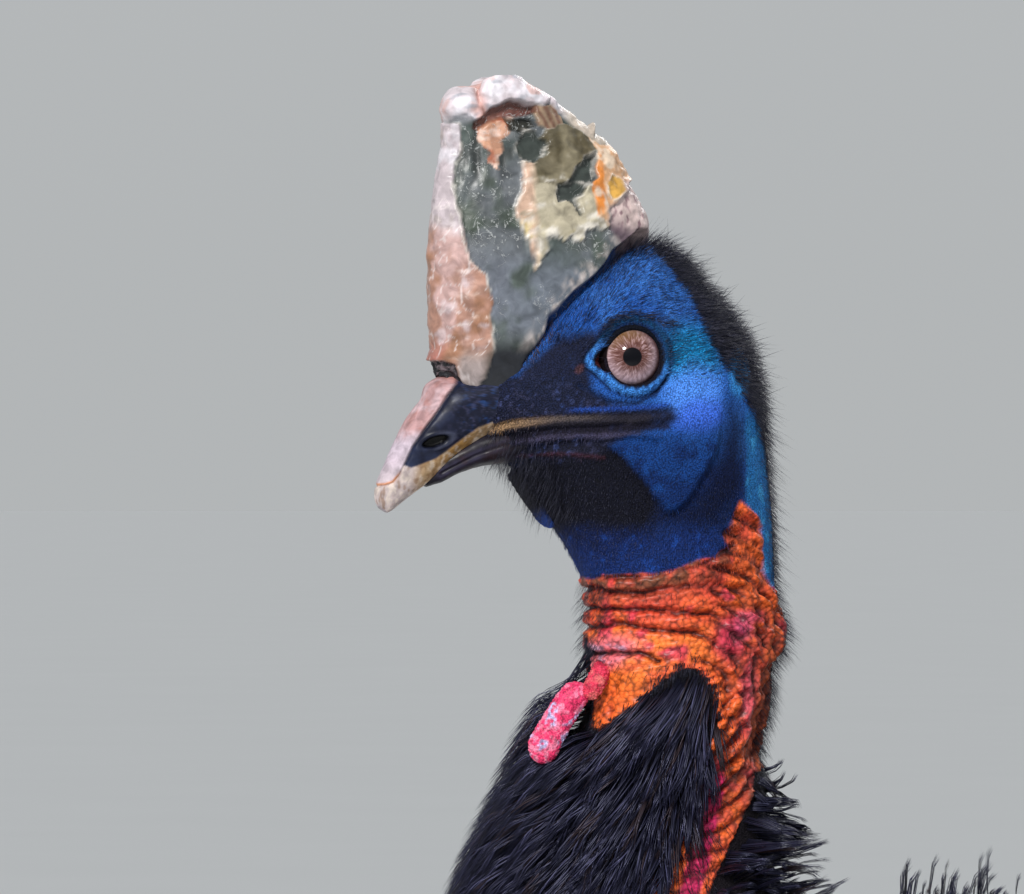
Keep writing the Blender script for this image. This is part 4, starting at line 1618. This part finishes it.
def neck_coat():
    """Finer feathers of the lower neck, which stand out at the top of its front."""
    rng = np.random.default_rng(6)
    count = 3250
    places, angles = scattered(rng, count, 10.4, 16.1, lambda _, a, at: feathered(at[:, 2], a)
                               * (from_front(a) < 2.02 + 2.0 * (at[:, 2] < 0.94)))
    at = form(places, angles)
    side = from_front(angles)
    low = fade(0.985, 0.925, at[:, 2])
    ahead = fade(1.6, 0.75, side)
    behind = fade(1.5, 1.85, side) * (1 - low)
    free = 1 - np.clip(low + behind, 0, 1)
    lie = steered(at, (free * (1 - ahead), (-0.42, 0.0, -0.9)), (free * ahead, (-0.66, 0.0, -0.75)),
                  (behind, (-0.02, 0.0, -1.0)), (low, (-0.36, 0.0, -0.93)))
    length = rng.uniform(0.022, 0.044, count) * (1 - 0.25 * behind)
    lift = rng.uniform(0.003, 0.01, count) + 0.0145 * fade(1.15, 0.45, side) * fade(1.076, 1.06, at[:, 2])
    grown("neck_coat", rng, places, angles, lie, length, lift, rng.uniform(0.0016, 0.0032, count), 7, 0.0008,
          (0.15, 0.1), curl=0.12, ragged=0.55, draw=0.12)


def nape_coat():
    """Separate spiky tufts that stand off the back of the lower neck, longer towards its base."""
    rng = np.random.default_rng(7)
    count = 170
    places, angles = scattered(rng, count, 10.6, 14.9, lambda _, a, at: feathered(at[:, 2], a)
                               * (from_front(a) > 1.84 + 0.45 * fade(0.958, 1.0, at[:, 2]))
                               * fade(0.945, 0.958, at[:, 2]))
    at = form(places, angles)
    lie = np.stack([np.full(count, 0.8), rng.normal(0.0, 0.15, count), rng.uniform(-0.9, 0.1, count)], axis=-1)
    length = rng.uniform(0.004, 0.012, count)
    reach = np.interp(at[:, 2], [0.95, 0.982, 1.001, 1.014], [0.027, 0.026, 0.016, 0.006])
    lift = reach * (0.3 + 0.7 * rng.uniform(0.0, 1.0, count) ** 1.7)
    grown("nape_coat", rng, places, angles, lie, length, lift, rng.uniform(0.0018, 0.0034, count), 15, 0.00062,
          (0.1, 0.05), curl=0.3, ragged=0.22, draw=0.05)


def mantle_coat():
    """Spiky tips that stand up along the top of the back, behind the neck."""
    rng = np.random.default_rng(9)
    count = 84
    places = rng.uniform(8.8, 10.2, count)
    angles = math.pi + rng.normal(0.0, 0.26, count)
    lie = np.stack([np.full(count, 0.9), rng.normal(0.0, 0.2, count), np.full(count, -0.1)], axis=-1)
    length = rng.uniform(0.003, 0.012, count)
    lift = 0.006 + 0.024 * rng.uniform(0.0, 1.0, count) ** 1.4
    grown("mantle_coat", rng, places, angles, lie, length, lift, rng.uniform(0.002, 0.0036, count), 14, 0.00075,
          (0.1, 0.04), curl=0.3, ragged=0.22, draw=0.05)


def thigh_coat():
    """Drooping feathers of the thighs, on an unwrap of their own."""
    rng = np.random.default_rng(8)
    for name, side in SIDES.items():
        rows = np.array(THIGH) + np.array([STEP[name]] * 2 + [0, 0])
        sections = np.stack([rows[:, 0], rows[:, 2], rows[:, 1], rows[:, 2], rows[:, 3]], axis=-1)

        def surface(places, angles):
            points = round_section(smooth_between(sections, places), angles, 1.0)
            return points + (0.0, side * LEG_Y, 0.0)

        count, strands = 640, 6
        places = rng.uniform(0.6, 6.6, count)
        angles = rng.uniform(0.0, math.tau, count)
        lie = np.broadcast_to(np.array([0.22, 0.0, -1.0]), (count, 3))
        length = rng.uniform(0.06, 0.11, count) * (1 - 0.35 * fade(4.0, 6.5, places))
        lift = rng.uniform(0.004, 0.016, count)
        shape = tufts(rng, places, angles, lie, length, lift, np.full(count, 0.006), strands, 0.002,
                      surface, 6.9, curl=0.08, ragged=0.5)
        u = (0.01 if side < 0 else 0.51) + 0.48 * angles / math.tau
        spots = np.repeat(np.stack([u, MARGIN + SPAN * places / 7.0], axis=-1), strands, axis=0)
        coat_pieces("thigh_coat_" + name, *shape, spots, feather_finish, feather_tint(rng, count, strands))


smooth_skin_normals = outward(form(skin_places, skin_angles))


def on_skin(rng, count, weight):
    """Roots on the finished skin: places, normals, and where each is before the turn."""
    chance = (weight[:-1] + weight[1:]) / 2
    step = np.linalg.norm(np.diff(skin_points, axis=0), axis=-1)
    width = np.linalg.norm(np.roll(skin_points, -1, axis=1) - skin_points, axis=-1)[:-1]
    chance = (chance * step * width).ravel()
    chosen = rng.choice(len(chance), size=count, p=chance / chance.sum())
    row, column = np.divmod(chosen, SKIN_COLUMNS)
    s, t = rng.uniform(0, 1, (count, 1)), rng.uniform(0, 1, (count, 1))
    after = (column + 1) % SKIN_COLUMNS

    def pick(grid):
        return ((1 - s) * (1 - t) * grid[row, column] + s * (1 - t) * grid[row + 1, column]
                + (1 - s) * t * grid[row, after] + s * t * grid[row + 1, after])

    root, normal = pick(skin_points), unit(pick(smooth_skin_normals), 0.0)
    u = MARGIN + SPAN * column / SKIN_COLUMNS
    v = MARGIN + SPAN * skin_places[row, 0] / LAST_SECTION
    return root, normal, pick(straight), pick(skin_tint), np.stack([u, v], axis=-1)


# How deep a hair's root sits, and the section past which the face has no crest
HAIR_DEPTH = 0.0002
CREST_END = 24.6


def hairs(name, seed, count, weight, lie, length, stand, width, tint, stray=0.16):
    """Short separate hairs on the bare skin, whose lie and length may depend on the place."""
    rng = np.random.default_rng(seed)
    root, normal, before, colour, uv = on_skin(rng, count, weight)
    lie = (lie(before) if callable(lie) else lie) + rng.normal(0, stray, (count, 3))
    way = unit(lie - normal * (lie * normal).sum(-1, keepdims=True), 0.0)
    size = (length(before) if callable(length) else length) * rng.uniform(0.6, 1.3, count)
    rise = stand * rng.uniform(0.7, 1.3, count)
    share = np.array([0.0, 0.5, 1.0])
    line = (root[:, None] - normal[:, None] * HAIR_DEPTH
            + way[:, None] * (size[:, None] * share)[..., None]
            + normal[:, None] * ((size * rise)[:, None] * share ** 0.8)[..., None])
    side = np.repeat(np.cross(normal, way)[:, None], 3, axis=1)
    lift = np.repeat(normal[:, None], 3, axis=1)
    half = np.full((count, 2), width / 2) * (1.0, 0.7)
    blades(name, line, side, lift, half, half * 0.8, uv, feather_finish, tint(rng, before, colour))


def black_hair(rng, at, _):
    return np.array([(0.008, 0.008, 0.012)]) * rng.uniform(0.4, 2.6, (len(at), 1))


def skin_hair(rng, at, colour):
    return np.clip(colour * rng.uniform(0.2, 2.1, (len(at), 1)), 0, 0.9)


def streaked_hair(rng, at, colour):
    dark = rng.uniform(0, 1, (len(at), 1)) < 0.42
    return np.clip(colour * np.where(dark, rng.uniform(0.05, 0.35, dark.shape), rng.uniform(0.6, 2.1, dark.shape)),
                   0, 0.9)


def crest_lie(at):
    high = fade(1.15, 1.2, at[:, 2])
    return steered(at, (high, (0.65, 0.0, 0.1)), (1 - high, (0.3, 0.0, -0.75)))


def crown_lie(at):
    near_casque = fade(0.022, 0.006, to_line(at[:, 0], at[:, 2], LOWER_RIM)[0])
    return steered(at, (near_casque, (0.35, 0.0, 0.9)), (1 - near_casque, (0.9, 0.0, 0.3)))


body_coat()
neck_coat()
nape_coat()
mantle_coat()
thigh_coat()

side_angle = from_front(skin_angles)
x, z = straight[..., 0], straight[..., 2]
radius, turn = eye_polar(x, z)
clear_of_eye = fade(0.001, 0.003, radius - lid_edge(turn))
behind_crest = fade(-0.003, 0.0015, x - np.interp(z, CREST_EDGE_Z, CREST_EDGE_X))
hairs("crest_hair", 21, 7600, np.maximum(behind_crest, fade(2.45, 2.85, side_angle)) * fade(1.088, 1.1, z)
      * (skin_places < CREST_END), crest_lie, lambda at: 0.0042 + 0.003 * fade(1.12, 1.2, at[:, 2]), 0.75, 0.0003,
      black_hair)
hairs("crest_spikes", 31, 900, behind_crest * fade(1.088, 1.1, z) * fade(2.2, 2.7, side_angle)
      * (skin_places < CREST_END), crest_lie, 0.0088, 1.0, 0.00024, black_hair, 0.3)
hairs("nape_hair", 26, 2500, fade(2.55, 2.95, side_angle) * fade(1.1, 1.09, z) * fade(1.0, 1.02, z),
      (0.3, 0.0, -0.75), 0.0062, 0.85, 0.00026, black_hair)
hairs("crown_hair", 22, 11000, fade(1.176, 1.192, z) * (1 - behind_crest) * (skin_places > 19.5) * clear_of_eye
      * fade(0.02, 0.032, np.hypot(x + 0.42, z - 1.17)),
      crown_lie, 0.0036, 0.24, 0.00026, streaked_hair, 0.14)
rim_gap, _ = to_line(x, z, LOWER_RIM)
hairs("rim_hair", 27, 1200, fade(0.005, 0.0015, rim_gap) * (skin_places > 20), (-0.25, 0.0, 0.9),
      0.0034, 0.45, 0.00026,
      lambda rng, at, colour: np.array([(0.02, 0.014, 0.016)]) * rng.uniform(0.6, 5.5, (len(at), 1)))
brow_gap, _ = to_line(x, z, BROW)
hairs("brow_hair", 28, 300, fade(0.0024, 0.0008, brow_gap), (0.95, 0.0, -0.05), 0.0048, 0.35,
      0.00022, black_hair, 0.1)
throat_weight = (fade(1.158, 1.146, z + 0.3 * (x + 0.4)) * (x < -0.335) * fade(1.09, 1.1, z)
                 * (skin_places < 25.5) * (1 - patch(x, z, CHEEK_FLAP, 0.001)))
hairs("throat_hair", 23, 5500, throat_weight, (-0.1, 0.0, -0.75), 0.0024, 0.45, 0.00028,
      skin_hair)
hairs("chin_hair", 25, 900, throat_weight * fade(0.85, 0.35, side_angle) * fade(1.12, 1.13, z),
      (-0.22, 0.0, -0.8), 0.008, 1.0, 0.0002, black_hair)
front_bare = fade(1.1, 1.09, z) * fade(1.02, 1.035, z) * (1 - feathered(z, skin_angles))
hairs("neck_hair", 24, 900, front_bare * (0.05 + fade(0.55, 0.25, side_angle)), (-0.1, 0.0, -0.9),
      0.0058, 0.85, 0.00022, black_hair)
above_coat = z - coat_edge(skin_angles)
hairs("edge_hair", 29, 900, front_bare * (side_angle < 2.0) * fade(0.009, 0.001, above_coat) * (above_coat > 0),
      (-0.12, 0.0, -1.0), 0.0085, 0.12, 0.0003, black_hair, 0.22)
rear_coat = np.where(feathered(z, skin_angles) > 0, 0.0, 1.0) * fade(0.35, 0.05, side_angle - 1.9)
hairs("strip_hair", 30, 420, rear_coat * fade(0.94, 0.96, z) * fade(1.04, 1.03, z) * (side_angle > 1.7),
      (0.16, 0.0, -1.0), 0.013, 0.15, 0.0003, black_hair, 0.25)


# Floor, light and camera

FLOOR_SIZE = 150.0
FLOOR_DROP = 0.0005
LIT_PLACE = (-0.3, 0.0, 1.0)

bm = bmesh.new()
bmesh.ops.create_grid(bm, x_segments=2, y_segments=2, size=FLOOR_SIZE)
mesh = bpy.data.meshes.new("floor")
bm.to_mesh(mesh)
bm.free()
floor = bpy.data.objects.new("floor", mesh)
floor.location.z = -FLOOR_DROP
bpy.context.scene.collection.objects.link(floor)
mesh.materials.append(floor_finish())

# A pale room that is brightest overhead, and at its foot as bright as the far floor
world = bpy.data.worlds.new("soft room")
world.use_nodes = True
nodes, links = world.node_tree.nodes, world.node_tree.links
where = nodes.new("ShaderNodeTexCoord")
height = nodes.new("ShaderNodeSeparateXYZ")
sky = nodes.new("ShaderNodeValToRGB")
sky.color_ramp.elements[0].position = 0.02
sky.color_ramp.elements[0].color = (0.449, 0.466, 0.474, 1.0)
sky.color_ramp.elements[1].position = 0.75
sky.color_ramp.elements[1].color = (0.66, 0.68, 0.7, 1.0)
links.new(where.outputs["Generated"], height.inputs[0])
links.new(height.outputs[2], sky.inputs[0])
links.new(sky.outputs[0], nodes["Background"].inputs["Color"])
nodes["Background"].inputs["Strength"].default_value = 1.0
bpy.context.scene.world = world
bpy.context.scene.view_settings.view_transform = "Standard"


def lamp(name, place, size, energy, colour=(1.0, 1.0, 1.0)):
    """A round lamp that faces the bird."""
    light = bpy.data.lights.new(name, "AREA")
    light.shape = "DISK"
    light.size = size
    light.energy = energy
    light.color = colour
    thing = bpy.data.objects.new(name, light)
    thing.location = place
    aim = Vector(LIT_PLACE) - Vector(place)
    thing.rotation_euler = aim.to_track_quat("-Z", "Y").to_euler()
    bpy.context.scene.collection.objects.link(thing)


lamp("key", (-1.3, -2.7, 3.0), 0.7, 112.0, (1.0, 0.98, 0.95))
lamp("back", (0.9, 2.2, 2.8), 1.4, 30.0)

camera = bpy.data.cameras.new("camera")
camera.lens = LENS
camera.sensor_width = SENSOR
camera.clip_end = 1000.0
viewer = bpy.data.objects.new("camera", camera)
viewer.location = (VIEW_CENTRE[0], -VIEW_DISTANCE, VIEW_CENTRE[1])
viewer.rotation_euler = (math.pi / 2, 0.0, 0.0)
bpy.context.scene.collection.objects.link(viewer)
bpy.context.scene.camera = viewer
